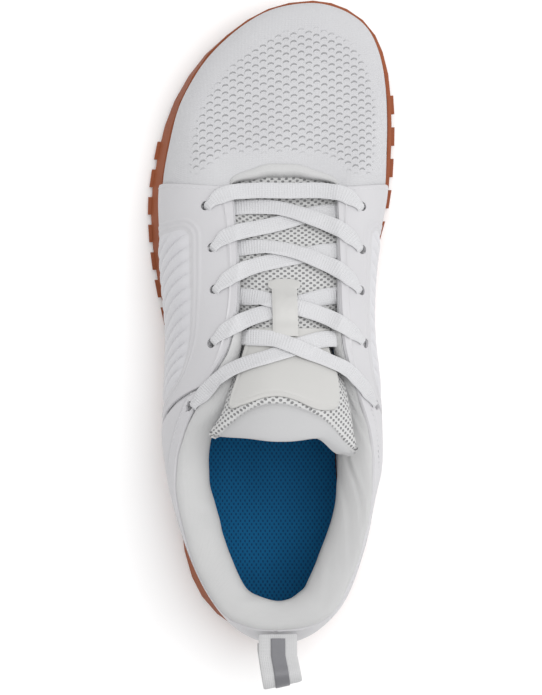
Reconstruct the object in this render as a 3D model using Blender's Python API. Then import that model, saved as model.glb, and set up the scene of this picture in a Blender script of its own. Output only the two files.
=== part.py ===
"""Barefoot shoe, left foot, standing empty on its sole.

The frame has the toe at +Y, the medial side at +X and the floor at Z = 0.
The origin lies on the floor under the heel, on the face of one tread lug.
Lengths are in metres.
"""

import math

import bmesh
import bpy
import numpy as np
from mathutils import Vector
from mathutils.bvhtree import BVHTree

# Driving sizes of the last and the sole
SOLE_LENGTH = 0.280
BALL_WIDTH = 0.107
HEEL_WIDTH = 0.0785
TOE_SPRING = 0.011
HEEL_BEVEL = 0.003
LUG_DEPTH = 0.003
SOLE_BASE = 0.0035
RIM_RISE = 0.0062
RIM_WALL = 0.0018
SIDE_LUG_REACH = 0.0010
INSTEP_HEIGHT = 0.071
HEEL_HEIGHT = 0.069

# Thicknesses and fits
UPPER_WALL = 0.0020
OVERLAY = 0.0008
HEM_WIDTH = 0.0075
COLLAR_CELLS = 12
THROAT_CELLS = 8
TOE_CELLS = 7
RIB_RELIEF = 0.0012
PADDING = 0.0105
INSOLE_THICKNESS = 0.0032
TONGUE_THICKNESS = 0.0040
CLEARANCE = 0.0003
PANEL_GAP = 0.0007
HEEL_LIFT = 0.0001
LABEL_THICKNESS = 0.0009

# Laces and loop
LACE_WIDTH = 0.0071
LACE_THICKNESS = 0.0011
EYELET_DIAMETER = 0.0044
PIN_SIDES = 8
LOOP_WIDTH = 0.016
LOOP_THICKNESS = 0.0016
LOOP_REACH = 0.013
STRIPE_WIDTH = 0.006
STRIPE_THICKNESS = 0.0005

# The origin lies under the middle lug of this tread row, at the lug's apex
ORIGIN_ALONG = 0.1600
ORIGIN_LUG_WIDTH = 0.134
APEX_SHARE = 0.17

# Outline of the sole: shares of its length, then of the local width
# on each side of the axis. Welt is the ledge outside the upper, in shares of the ball width.
SOLE_SECTIONS = (
    # along, medial, lateral, welt medial, welt lateral
    (0.000, 0.000, 0.000, 0.010, 0.010),
    (0.0214, 0.247, 0.256, 0.010, 0.018),
    (0.0684, 0.394, 0.413, 0.010, 0.030),
    (0.127, 0.462, 0.490, 0.008, 0.030),
    (0.186, 0.483, 0.517, 0.008, 0.022),
    (0.250, 0.437, 0.531, 0.008, 0.014),
    (0.320, 0.424, 0.538, 0.008, 0.008),
    (0.400, 0.404, 0.508, 0.008, 0.010),
    (0.480, 0.389, 0.489, 0.008, 0.018),
    (0.557, 0.405, 0.494, 0.008, 0.028),
    (0.620, 0.437, 0.498, 0.008, 0.034),
    (0.690, 0.484, 0.502, 0.008, 0.036),
    (0.760, 0.500, 0.476, 0.008, 0.034),
    (0.830, 0.501, 0.427, 0.008, 0.028),
    (0.880, 0.488, 0.360, 0.007, 0.022),
    (0.926, 0.454, 0.266, 0.006, 0.014),
    (0.960, 0.401, 0.155, 0.005, 0.008),
    (0.985, 0.315, 0.041, 0.004, 0.006),
    (1.000, 0.160, -0.160, 0.004, 0.004),
)

# Sections of the upper between its lower line and its widest line.
# Bulge is how far the widest line stands out from the lower line, in shares of the
# ball width; height is above the cup floor, in shares of the instep height; rise is
# the length of the upward tangent there.
BODY_SECTIONS = (
    # foot, bulge medial, bulge lateral, height, rise
    (0.000, 0.014, 0.014, 0.330, 0.230),
    (0.068, 0.014, -0.006, 0.330, 0.230),
    (0.127, 0.022, 0.011, 0.340, 0.220),
    (0.186, 0.046, 0.034, 0.350, 0.200),
    (0.270, 0.130, 0.066, 0.365, 0.180),
    (0.340, 0.138, 0.070, 0.360, 0.190),
    (0.420, 0.106, 0.050, 0.330, 0.260),
    (0.520, 0.046, 0.022, 0.280, 0.330),
    (0.620, 0.006, 0.008, 0.220, 0.330),
    (0.720, -0.006, 0.012, 0.180, 0.300),
    (0.850, -0.008, 0.010, 0.165, 0.240),
    (0.930, 0.000, 0.008, 0.155, 0.175),
    (1.000, 0.006, 0.006, 0.150, 0.150),
)

# The edge of the opening: collar, throat sides, throat front.
# Along is a share of the sole length, medial and lateral of the ball width, height of
# the heel height at the back blending into the instep height in front. Out and down are
# the tangent with which the wall arrives, in shares of the ball width.
EDGE_SECTIONS = (
    # foot, along, medial, lateral, height, out, down
    (0.000, 0.043, 0.000, 0.000, 1.000, 0.020, 0.130),
    (0.0214, 0.048, 0.112, 0.112, 0.995, 0.020, 0.130),
    (0.068, 0.068, 0.206, 0.206, 0.975, 0.020, 0.130),
    (0.127, 0.114, 0.280, 0.285, 0.920, 0.022, 0.120),
    (0.186, 0.171, 0.332, 0.345, 0.860, 0.030, 0.110),
    (0.270, 0.257, 0.370, 0.388, 0.815, 0.040, 0.100),
    (0.340, 0.325, 0.356, 0.360, 0.845, 0.060, 0.095),
    (0.400, 0.385, 0.308, 0.295, 0.910, 0.090, 0.085),
    (0.455, 0.450, 0.252, 0.198, 1.000, 0.130, 0.080),
    (0.520, 0.504, 0.238, 0.162, 0.968, 0.150, 0.070),
    (0.600, 0.566, 0.238, 0.150, 0.880, 0.160, 0.060),
    (0.700, 0.634, 0.239, 0.158, 0.775, 0.170, 0.045),
    (0.780, 0.678, 0.240, 0.168, 0.706, 0.200, 0.045),
    (0.850, 0.706, 0.242, 0.178, 0.660, 0.240, 0.060),
    (0.930, 0.722, 0.130, 0.075, 0.645, 0.330, 0.080),
    (1.000, 0.727, 0.034, -0.034, 0.640, 0.400, 0.095),
)
FOOT_AT_COLLAR_FRONT = 0.455
FOOT_AT_THROAT_CORNER = 0.850

# Rows of chevron lugs: place along the sole, the outermost lugs on each side, how many,
# how many of them on the medial side point to the toe, how wide, and how far the
# medial end of the row lies ahead of its lateral end.
TREAD_ROWS = (
    # along, medial, lateral, count, forward, width, slant
    (0.858, 0.365, -0.050, 3, 3, 0.130, 0.012),
    (0.821, 0.365, 0.175, 2, 2, 0.135, 0.000),
    (0.825, -0.230, -0.230, 1, 1, 0.123, 0.000),
    (0.776, 0.370, -0.298, 4, 4, 0.138, 0.000),
    (0.722, 0.372, -0.364, 5, 3, 0.134, -0.006),
    (0.671, 0.318, -0.364, 5, 3, 0.125, -0.008),
    (0.622, 0.256, -0.372, 5, 3, 0.106, -0.006),
    (0.579, 0.150, -0.336, 4, 2, 0.106, 0.000),
    (0.534, 0.117, -0.280, 3, 0, 0.112, 0.000),
    (0.490, 0.018, -0.257, 3, 0, 0.102, 0.000),
    (0.441, -0.064, -0.228, 2, 0, 0.124, 0.000),
    (0.394, -0.022, -0.240, 3, 0, 0.084, 0.000),
    (0.354, -0.004, -0.236, 3, 0, 0.084, 0.000),
    (0.313, 0.036, -0.230, 3, 0, 0.096, 0.000),
    (0.270, 0.074, -0.230, 3, 0, 0.112, 0.000),
    (0.212, 0.125, -0.212, 3, 0, 0.130, 0.014),
    (0.160, 0.000, -0.176, 2, 0, 0.134, 0.000),
    (0.116, 0.004, -0.146, 2, 0, 0.111, 0.000),
    (0.071, -0.063, -0.063, 1, 0, 0.123, 0.000),
)

# Runs of square lugs along the sole's edge: first and last place along, how many,
# length along, reach inwards. Side is +1 medial and -1 lateral.
SIDE_LUG_RUNS = (
    # side, first, last, count, length, reach
    (1, 0.845, 0.595, 6, 0.0270, 0.068),
    (-1, 0.771, 0.200, 14, 0.0260, 0.085),
)

# Toe bars: the columns' edges across, at the back and at the front, and their rows.
TOE_COLUMNS = (
    # inner back, outer back, inner front, outer front, back along
    (0.268, 0.470, 0.290, 0.470, 0.880),
    (0.090, 0.232, 0.112, 0.255, 0.883),
    (-0.105, 0.052, -0.070, 0.080, 0.868),
    (-0.440, -0.142, -0.440, -0.110, 0.846),
)
TOE_BAR_PITCH = 0.0272
TOE_BAR_GAP = 0.0052

# The arch plate: where its inner edge runs, from front to back.
ARCH_PLATE = (
    # along, inner edge across, share of the long groove
    (0.565, 0.370, 0.00),
    (0.525, 0.215, 0.40),
    (0.470, 0.090, 0.46),
    (0.420, 0.052, 0.48),
    (0.365, 0.062, 0.50),
    (0.310, 0.130, 0.50),
    (0.262, 0.235, 0.50),
)
ARCH_RELIEF = 0.0016
GROOVE = 0.0011

# Blocks round the heel: edges of each wedge along the outline, from the medial side
# round the back to the lateral side, and how far each point reaches towards the middle.
HEEL_BLOCKS = (
    # start, end, side at the start, side at the end, tip along, tip across
    (0.248, 0.180, 1, 1, 0.212, 0.235),
    (0.168, 0.092, 1, 1, 0.155, 0.120),
    (0.082, 0.030, 1, 1, 0.102, 0.050),
    (0.024, 0.004, 1, 1, 0.062, 0.035),
    (0.004, 0.048, -1, -1, 0.068, -0.175),
    (0.058, 0.104, -1, -1, 0.122, -0.262),
    (0.112, 0.165, -1, -1, 0.168, -0.318),
)

# The lateral and medial quarter overlays and the heel panel, as places along the sole
# at the lower line, the widest line and the opening's edge.
QUARTER_FRONT = (0.712, 0.712, 0.700)
QUARTER_BACK = (0.300, 0.335, 0.402)
PANEL_JOINT = 0.0035
QUARTER_LEVELS = (0.11, 0.22, 0.33, 0.45, 0.58, 0.72, 0.87, 0.95)
HEEL_LEVELS = (0.11, 0.22, 0.33, 0.45, 0.58, 0.72, 0.87, 0.975)
RIB_COUNT = 13

# The tongue below the laces: place along, how much it swells up between the throat's
# sides, its half widths, and how far its sides tuck in under the lining.
TONGUE_SECTIONS = (
    # along, swell, medial, lateral, tuck
    (0.752, 0.000, 0.150, 0.085, 0.0),
    (0.712, 0.004, 0.240, 0.170, 0.0),
    (0.660, 0.018, 0.300, 0.225, 0.0),
    (0.600, 0.022, 0.300, 0.218, 0.0),
    (0.545, 0.022, 0.290, 0.210, 0.2),
    (0.500, 0.046, 0.244, 0.164, 1.0),
    (0.458, 0.034, 0.196, 0.136, 0.8),
)
TUCK_DEPTH = 0.0036
# Its free end, standing up over the collar.
TONGUE_TIP = (
    # along, height share of the instep, medial, lateral, droop of the sides
    (0.430, 1.130, 0.222, 0.186, 0.070),
    (0.400, 1.215, 0.250, 0.230, 0.090),
    (0.368, 1.290, 0.280, 0.262, 0.105),
    (0.324, 1.352, 0.300, 0.285, 0.130),
)
TONGUE_COLUMNS = 8

# The smooth label on the tongue, from its front end to its rear end.
LABEL_SECTIONS = (
    # along, medial, lateral
    (0.484, 0.200, 0.112),
    (0.462, 0.190, 0.120),
    (0.440, 0.195, 0.150),
    (0.415, 0.205, 0.190),
    (0.392, 0.185, 0.175),
)

# The lace keeper: where it starts and ends along the tongue, its middle across, its width.
KEEPER = (0.551, 0.474, 0.025, 0.096)

# Eyelets from the front row to the top row: place along, then across on each side.
EYELETS = (
    # along, medial, lateral
    (0.671, 0.336, 0.275),
    (0.605, 0.329, 0.251),
    (0.541, 0.321, 0.243),
    (0.464, 0.334, 0.251),
    (0.368, 0.388, 0.333),
)
# Where a lace comes out over the tongue beside each row, before it crosses over.
LACE_STARTS = (
    # along, medial, lateral
    (0.667, 0.205, 0.130),
    (0.601, 0.200, 0.112),
    (0.537, 0.200, 0.112),
    (0.459, 0.176, 0.104),
)

# The pull loop in side view: how far behind the heel, and height in shares of the
# heel height, from its upper end to its lower end.
LOOP_PATH = (
    # behind, height
    (0.30, 0.990),
    (0.62, 1.010),
    (0.86, 0.985),
    (1.00, 0.910),
    (0.97, 0.830),
    (0.80, 0.765),
    (0.50, 0.715),
)
LOOP_ENDS = (0.93, 0.62)
LOOP_LEAN = 0.0022

MATERIALS = {
    # colour, roughness
    "gum_rubber": ((0.50, 0.19, 0.08), 0.45),
    "insole_cloth": ((0.01, 0.12, 0.30), 0.85),
    "knit": ((0.80, 0.80, 0.82), 0.90),
    "smooth_panel": ((0.82, 0.82, 0.84), 0.55),
    "ribbed_panel": ((0.83, 0.83, 0.86), 0.50),
    "lining": ((0.84, 0.84, 0.84), 0.85),
    "tongue_mesh": ((0.78, 0.78, 0.77), 0.90),
    "label": ((0.80, 0.80, 0.77), 0.50),
    "lace": ((0.88, 0.88, 0.90), 0.80),
    "webbing": ((0.84, 0.84, 0.84), 0.80),
    "reflector": ((0.36, 0.36, 0.38), 0.40),
}


def smoothstep(low, high, value):
    share = np.clip((value - low) / (high - low), 0.0, 1.0)
    return share * share * (3 - 2 * share)


def curve_through(places, values, where):
    """A smooth curve through a table's values, flat beyond its ends."""
    places = np.asarray(places, float)
    values = np.asarray(values, float)
    slopes = np.gradient(values, places)
    where = np.clip(where, places[0], places[-1])
    cell = np.clip(np.searchsorted(places, where) - 1, 0, len(places) - 2)
    step = places[cell + 1] - places[cell]
    s = (where - places[cell]) / step
    return (
        (1 + 2 * s) * (1 - s) ** 2 * values[cell]
        + s * (1 - s) ** 2 * step * slopes[cell]
        + s * s * (3 - 2 * s) * values[cell + 1]
        + s * s * (s - 1) * step * slopes[cell + 1]
    )


def turn_of(along):
    """Share of the half turn from heel to toe, which rounds both ends of the outline."""
    return np.arccos(np.clip(1 - 2 * np.asarray(along, float), -1, 1)) / math.pi


def column(table, number, along, by_turn=True):
    rows = sorted(table)
    places = [row[0] for row in rows]
    values = [row[number] for row in rows]
    if by_turn:
        return curve_through(turn_of(places), values, turn_of(along))
    return curve_through(places, values, along)


def local_width(along):
    return HEEL_WIDTH + (BALL_WIDTH - HEEL_WIDTH) * smoothstep(0.30, 0.65, along)


def sole_edge(along, side):
    """Distance from the axis to the sole's edge, positive to the medial side."""
    share = column(SOLE_SECTIONS, 1 if side > 0 else 2, along)
    return side * share * local_width(along)


def welt(along, side):
    return column(SOLE_SECTIONS, 3 if side > 0 else 4, along) * BALL_WIDTH


def floor_rise(along):
    """How far toe spring and heel bevel lift the bottom of the sole."""
    toe = np.clip((along - 0.70) / 0.30, 0, 1) ** 2 * TOE_SPRING
    heel = np.clip((0.085 - along) / 0.085, 0, 1) ** 2 * HEEL_BEVEL
    return toe + heel


def cup_floor(along):
    return floor_rise(along) + LUG_DEPTH + SOLE_BASE


def rim_top(along):
    ends = 0.45 * smoothstep(0.80, 1.0, along) + 0.65 * smoothstep(0.16, 0.0, along)
    return cup_floor(along) + RIM_RISE * (1 + ends)


def outline(alongs, inset):
    """Closed loop round the sole, from the heel up the medial side to the toe and back.

    alongs runs from 0 to 1; inset is a function of along and side.
    """
    dense = (1 - np.cos(np.linspace(0, math.pi, 241))) / 2
    medial = np.stack([sole_edge(dense, 1), dense * SOLE_LENGTH], 1)
    lateral = np.stack([sole_edge(dense, -1), dense * SOLE_LENGTH], 1)
    ring = np.concatenate([medial, lateral[-2:0:-1]])
    ahead = np.roll(ring, -1, 0) - np.roll(ring, 1, 0)
    normal = np.stack([ahead[:, 1], -ahead[:, 0]], 1)
    normal /= np.linalg.norm(normal, axis=1)[:, None]
    out = []
    for side, places in ((1, alongs), (-1, alongs[-2:0:-1])):
        for along in places:
            steps = int(round(turn_of(along) * 240))
            spot = steps if side > 0 else (480 - steps) % 480
            out.append(ring[spot] - normal[spot] * inset(along, side))
    return np.array(out)


def both_sides(alongs):
    """(along, side) for every point of a closed loop from the heel round by the toe."""
    return [(a, 1) for a in alongs] + [(a, -1) for a in alongs[-2:0:-1]]


def bezier(p0, p1, p2, p3, share):
    keep = 1 - share
    return (
        keep**3 * p0
        + 3 * keep * keep * share * p1
        + 3 * keep * share * share * p2
        + share**3 * p3
    )


def lower_line(along, side):
    """Point and outward direction of the upper's lower line, inside the sole's rim."""
    step = 0.004
    inset = welt(along, side) + RIM_WALL + CLEARANCE

    def edge(turn):
        turn = turn % 2
        branch = 1 if turn <= 1 else -1
        place = (1 - math.cos(turn * math.pi)) / 2
        return np.array([float(sole_edge(place, branch)), place * SOLE_LENGTH])

    turn = float(turn_of(along))
    turn = turn if side > 0 else 2 - turn
    ahead = edge(turn + step) - edge(turn - step)
    out = np.array([ahead[1], -ahead[0]]) / np.linalg.norm(ahead)
    return edge(turn) - out * inset, out


def edge_height(along_edge, share):
    """Heights near the heel follow the heel height, in front the instep height."""
    front = smoothstep(0.25, 0.42, along_edge)
    return share * (HEEL_HEIGHT * (1 - front) + INSTEP_HEIGHT * front)


def section(foot, side):
    """The guiding points of one section of the upper, from sole to opening."""
    base, out = lower_line(foot, side)
    out3 = np.array([out[0], out[1], 0.0])
    floor = float(cup_floor(foot))
    start = np.array([base[0], base[1], floor + CLEARANCE])
    bulge = float(column(BODY_SECTIONS, 1 if side > 0 else 2, foot)) * BALL_WIDTH
    height = float(column(BODY_SECTIONS, 3, foot)) * INSTEP_HEIGHT
    widest = start + out3 * bulge + np.array([0, 0, height])
    rise = float(column(BODY_SECTIONS, 4, foot)) * INSTEP_HEIGHT
    along = float(column(EDGE_SECTIONS, 1, foot))
    across = side * float(column(EDGE_SECTIONS, 2 if side > 0 else 3, foot))
    share = float(column(EDGE_SECTIONS, 4, foot))
    top = np.array(
        [across * BALL_WIDTH, along * SOLE_LENGTH, float(edge_height(along, share))]
    )
    away = widest - top
    away[2] = 0
    away /= max(np.linalg.norm(away), 1e-6)
    arrive = top + away * float(column(EDGE_SECTIONS, 5, foot)) * BALL_WIDTH
    arrive[2] -= float(column(EDGE_SECTIONS, 6, foot)) * BALL_WIDTH
    return start, widest, rise, arrive, top, float(rim_top(foot)) - floor


def section_point(guides, level):
    """Level 0 is the lower line, LEVEL_RIM the sole's rim, 1 the opening's edge."""
    start, widest, rise, arrive, top, rim_rise = guides
    up = np.array([0, 0, 1.0])
    rim = start + up * (rim_rise + CLEARANCE)
    if level <= LEVEL_RIM:
        return start + (rim - start) * (level / LEVEL_RIM)
    if level <= LEVEL_WIDEST:
        share = (level - LEVEL_RIM) / (LEVEL_WIDEST - LEVEL_RIM)
        reach = (widest[2] - rim[2]) * 0.45
        return bezier(rim, rim + up * reach, widest - up * reach, widest, share)
    share = (level - LEVEL_WIDEST) / (1 - LEVEL_WIDEST)
    return bezier(widest, widest + up * rise, arrive, top, share)


LEVEL_RIM = 0.11
LEVEL_WIDEST = 0.33
WALL_LEVELS = (0, 0.11, 0.22, 0.33, 0.45, 0.58, 0.72, 0.87, 1.0)


class Skin:
    """The outer surface of the upper, as points over turn (0 to 2) and level (0 to 1)."""

    def __init__(self, turns=240, levels=60):
        self.turns = np.linspace(0, 2, turns + 1)
        self.levels = np.linspace(0, 1, levels + 1)
        grid = np.zeros((turns + 1, levels + 1, 3))
        for i, turn in enumerate(self.turns[:-1]):
            side = 1 if turn <= 1 else -1
            foot = (1 - math.cos(turn * math.pi)) / 2
            guides = section(foot, side)
            for j, level in enumerate(self.levels):
                grid[i, j] = section_point(guides, level)
        grid[-1] = grid[0]
        self.grid = grid
        ring = grid[:-1]
        d_turn = np.roll(ring, -1, 0) - np.roll(ring, 1, 0)
        d_level = np.gradient(ring, axis=1)
        normal = np.cross(d_turn, d_level)
        normal /= np.linalg.norm(normal, axis=2)[:, :, None]
        self.normal = np.concatenate([normal, normal[:1]])
        self.rising = np.concatenate([d_level, d_level[:1]])
        self.rising /= np.linalg.norm(self.rising, axis=2)[:, :, None]

    def sample(self, field, turn, level):
        i = (turn % 2) / 2 * (len(self.turns) - 1)
        j = np.clip(level, 0, 1) * (len(self.levels) - 1)
        i0 = min(int(i), len(self.turns) - 2)
        j0 = min(int(j), len(self.levels) - 2)
        a, b = i - i0, j - j0
        return (
            field[i0, j0] * (1 - a) * (1 - b)
            + field[i0 + 1, j0] * a * (1 - b)
            + field[i0, j0 + 1] * (1 - a) * b
            + field[i0 + 1, j0 + 1] * a * b
        )

    def point(self, turn, level, out=0.0, beyond=0.0):
        """A point at a height out above the surface, and beyond past the opening's edge."""
        place = self.sample(self.grid, turn, level)
        normal = self.sample(self.normal, turn, level)
        normal = normal / np.linalg.norm(normal)
        place = place + normal * out
        if beyond:
            place = place + self.sample(self.rising, turn, level) * beyond
        return place

    def level_at(self, turn, distance):
        """The level at this distance below the opening's edge."""
        levels = np.linspace(1.0, 0.5, 60)
        points = np.array([self.sample(self.grid, turn, v) for v in levels])
        gone = np.concatenate([[0], np.cumsum(np.linalg.norm(np.diff(points, axis=0), axis=1))])
        return float(np.interp(distance, gone, levels))

    def turn_at(self, along, side, level):
        """The turn whose point at this level lies at a place along the sole."""
        turns = np.linspace(0.0, 1.0, 121) if side > 0 else np.linspace(2.0, 1.0, 121)
        reach = [self.sample(self.grid, t, level)[1] for t in turns]
        reach = np.maximum.accumulate(np.array(reach))
        return float(np.interp(along * SOLE_LENGTH, reach, turns))


def add_material(name):
    colour, roughness = MATERIALS[name]
    material = bpy.data.materials.get(name) or bpy.data.materials.new(name)
    material.use_nodes = True
    shader = material.node_tree.nodes["Principled BSDF"]
    shader.inputs["Base Color"].default_value = (*colour, 1)
    shader.inputs["Roughness"].default_value = roughness
    shader.inputs["Metallic"].default_value = 0.0
    material.diffuse_color = (*colour, 1)
    return material


def add_object(name, points, faces, material, parent, helper=False):
    mesh = bpy.data.meshes.new(name)
    mesh.from_pydata([tuple(map(float, p)) for p in points], [], faces)
    shape = bmesh.new()
    shape.from_mesh(mesh)
    bmesh.ops.recalc_face_normals(shape, faces=shape.faces)
    shape.to_mesh(mesh)
    shape.free()
    if not helper:
        mesh.shade_smooth()
        mesh.set_sharp_from_angle(angle=math.radians(35))
    made = bpy.data.objects.new(name, mesh)
    bpy.context.scene.collection.objects.link(made)
    made.parent = parent
    if helper:
        made.hide_render = True
        made.display_type = "WIRE"
    else:
        mesh.materials.append(add_material(material))
    return made


def shell_faces(outer, inner, closed, missing=()):
    """Points and faces of a wall between two grids of points of the same shape.

    Cells listed in missing are left open, with the wall's thickness closed round them.
    """
    rows, columns = outer.shape[:2]
    points = np.concatenate([outer.reshape(-1, 3), inner.reshape(-1, 3)])
    other = rows * columns
    cells = {
        (i, j)
        for i in range(rows if closed else rows - 1)
        for j in range(columns - 1)
        if (i, j) not in missing
    }

    def spot(i, j):
        return (i % rows) * columns + j

    faces = []
    for i, j in sorted(cells):
        ring = [spot(i, j), spot(i + 1, j), spot(i + 1, j + 1), spot(i, j + 1)]
        for half in ((0, 1, 2), (0, 2, 3)):
            faces.append([ring[k] for k in half])
            faces.append([ring[k] + other for k in reversed(half)])
        near = (((i, j - 1), 0, 1), ((i + 1, j), 1, 2), ((i, j + 1), 2, 3), ((i - 1, j), 3, 0))
        for cell, a, b in near:
            place = (cell[0] % rows, cell[1]) if closed else cell
            if place not in cells:
                faces.append([ring[b], ring[a], ring[a] + other, ring[b] + other])
    used = sorted({k for face in faces for k in face})
    renumber = {k: n for n, k in enumerate(used)}
    return points[used], [[renumber[k] for k in face] for face in faces]


def joined(target, others):
    """Boolean union of solids into the first one."""
    for other in others:
        union = target.modifiers.new("join", "BOOLEAN")
        union.operation = "UNION"
        union.solver = "EXACT"
        union.object = other
    return target


def prism(outline_points, low, high):
    """Points and faces of a solid between two heights, each a number or one per corner."""
    count = len(outline_points)
    low = np.broadcast_to(low, count)
    high = np.broadcast_to(high, count)
    points = [(x, y, z) for (x, y), z in zip(outline_points, low)]
    points += [(x, y, z) for (x, y), z in zip(outline_points, high)]
    faces = [list(range(count))[::-1], list(range(count, 2 * count))]
    faces += [
        [k, (k + 1) % count, (k + 1) % count + count, k + count] for k in range(count)
    ]
    return points, faces


class Blocks:
    """Collects separate prisms into one helper mesh that a Boolean joins to the sole."""

    def __init__(self):
        self.points, self.faces = [], []

    def add(self, outline_points, relief, sink=0.0012, draft=0.0005):
        """relief is how far the block stands below the sole's base."""
        corners = np.array(outline_points, float)
        centre = corners.mean(0)
        alongs = corners[:, 1] / SOLE_LENGTH
        base = floor_rise(alongs) + LUG_DEPTH
        reach = np.linalg.norm(corners - centre, axis=1)
        foot = centre + (corners - centre) * (1 + draft / reach)[:, None]
        points, faces = prism(corners, base - relief, base + sink)
        for k, (x, y) in enumerate(foot):
            points[len(corners) + k] = (x, y, points[len(corners) + k][2])
        start = len(self.points)
        self.points += points
        self.faces += [[k + start for k in face] for face in faces]


def chevron(centre, width, forward):
    """A chevron lug's corners; it points to the toe when forward is 1, else to the heel."""
    arm = width * 0.44
    dip = width * 0.34
    x, y = centre
    half = width / 2
    shape = [(-half, -dip / 2 - arm / 2), (0, dip / 2 - arm / 2), (half, -dip / 2 - arm / 2)]
    shape += [(half, -dip / 2 + arm / 2), (0, dip / 2 + arm / 2), (-half, -dip / 2 + arm / 2)]
    corners = [(x + a, y + b * forward) for a, b in shape]
    return corners if forward > 0 else corners[::-1]


def inside_edge(along, side, inset):
    return float(sole_edge(along, side)) - side * inset


def tread_blocks():
    blocks = Blocks()
    for along, medial, lateral, count, forward, width, slant in TREAD_ROWS:
        for k in range(count):
            share = k / (count - 1) if count > 1 else 0.0
            across = medial + (lateral - medial) * share
            place = along + slant * (0.5 - share)
            centre = (across * BALL_WIDTH, place * SOLE_LENGTH)
            direction = 1 if k < forward else -1
            blocks.add(chevron(centre, width * BALL_WIDTH, direction), LUG_DEPTH)
    return blocks


def edge_blocks():
    """Square lugs along the edge, toe bars and heel blocks."""
    blocks = Blocks()
    for side, first, last, count, length, reach in SIDE_LUG_RUNS:
        for k in range(count):
            middle = first + (last - first) * k / (count - 1)
            ends = (middle - length / 2, middle + length / 2)
            outer = [(inside_edge(a, side, -SIDE_LUG_REACH), a * SOLE_LENGTH) for a in ends]
            inner = [(inside_edge(a, side, reach * BALL_WIDTH), a * SOLE_LENGTH) for a in ends]
            ring = [outer[0], outer[1], inner[1], inner[0]]
            blocks.add(ring if side > 0 else ring[::-1], LUG_DEPTH)
    add_toe_bars(blocks)
    for start, end, start_side, end_side, tip_along, tip_across in HEEL_BLOCKS:
        count = 4
        arc = []
        for k in range(count):
            along = start + (end - start) * k / (count - 1)
            arc.append((inside_edge(along, start_side, 0.0008), along * SOLE_LENGTH))
        tip = (tip_across * BALL_WIDTH, tip_along * SOLE_LENGTH)
        ring = arc + [tip]
        blocks.add(ring[::-1], LUG_DEPTH)
    return blocks


def add_toe_bars(blocks):
    for inner_back, outer_back, inner_front, outer_front, back in TOE_COLUMNS:
        along = back
        while along + TOE_BAR_PITCH * 0.5 < 0.992:
            front = min(along + TOE_BAR_PITCH - TOE_BAR_GAP, 0.992)
            ring = []
            for place, pick in ((along, 0), (along, 1), (front, 1), (front, 0)):
                share = (place - back) / (1 - back)
                low = inner_back + (inner_front - inner_back) * share
                high = outer_back + (outer_front - outer_back) * share
                limit_high = inside_edge(place, 1, 0.0012)
                limit_low = inside_edge(place, -1, 0.0012)
                across = (low, high)[pick] * BALL_WIDTH
                ring.append((min(max(across, limit_low), limit_high), place * SOLE_LENGTH))
            wide = min(ring[1][0] - ring[0][0], ring[2][0] - ring[3][0])
            if wide > 0.003:
                blocks.add(ring, LUG_DEPTH)
            along += TOE_BAR_PITCH


def arch_blocks():
    """The arch plate as cells between its long groove and its cross grooves."""
    blocks = Blocks()
    rows = ARCH_PLATE
    for (a1, inner1, cut1), (a2, inner2, cut2) in zip(rows[:-1], rows[1:]):
        outer1 = inside_edge(a1, 1, 0.003)
        outer2 = inside_edge(a2, 1, 0.003)
        front = a1 * SOLE_LENGTH - GROOVE / 2
        back = a2 * SOLE_LENGTH + GROOVE / 2
        in1, in2 = inner1 * BALL_WIDTH, inner2 * BALL_WIDTH
        groove1 = in1 + (outer1 - in1) * cut1
        groove2 = in2 + (outer2 - in2) * cut2
        half = GROOVE / 2
        if cut1 > 0:
            inner_cell = [(in2, back), (groove2 - half, back), (groove1 - half, front)]
            blocks.add(inner_cell + [(in1, front)], ARCH_RELIEF)
        outer_cell = [(groove2 + half, back), (outer2, back), (outer1, front)]
        if outer1 - groove1 > 0.002:
            outer_cell.append((groove1 + half, front))
        blocks.add(outer_cell, ARCH_RELIEF)
    return blocks


def build_outsole(parent):
    """A thin cup of gum rubber: base, rim, lugs."""
    alongs = wall_places()
    rings = []
    places = both_sides(alongs)
    place_along = np.array([a for a, _ in places])
    base = floor_rise(place_along) + LUG_DEPTH
    floor = cup_floor(place_along)
    rim = rim_top(place_along)
    levels = (
        (lambda a, s: 0.0012, base),
        (lambda a, s: 0.0, base + 0.0012),
        (lambda a, s: welt(a, s) * 0.35, floor),
        (lambda a, s: welt(a, s), rim),
        (lambda a, s: welt(a, s) + RIM_WALL, rim),
        (lambda a, s: welt(a, s) + RIM_WALL, floor),
    )
    for inset, height in levels:
        flat = outline(alongs, inset)
        rings.append(np.column_stack([flat, height]))
    count = len(places)
    points = np.concatenate(rings)
    faces = []
    for level in range(len(rings) - 1):
        for k in range(count):
            after = (k + 1) % count
            a, b = level * count, (level + 1) * count
            faces.append([a + k, a + after, b + after, b + k])
    side_count = len(alongs)
    for level, flip in ((0, True), (len(rings) - 1, False)):
        start = level * count
        for k in range(side_count - 1):
            medial = (start + k, start + k + 1)
            lateral = (start + (count - k) % count, start + (count - k - 1) % count)
            ring = [medial[0], medial[1], lateral[1], lateral[0]]
            ring = list(dict.fromkeys(ring))
            faces.append(ring[::-1] if flip else ring)
    sole = add_object("outsole", points, faces, "gum_rubber", parent)
    helpers = []
    for name, blocks in (
        ("tread_helper", tread_blocks()),
        ("edge_helper", edge_blocks()),
        ("arch_helper", arch_blocks()),
    ):
        helpers.append(add_object(name, blocks.points, blocks.faces, None, parent, True))
    return joined(sole, helpers)


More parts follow.
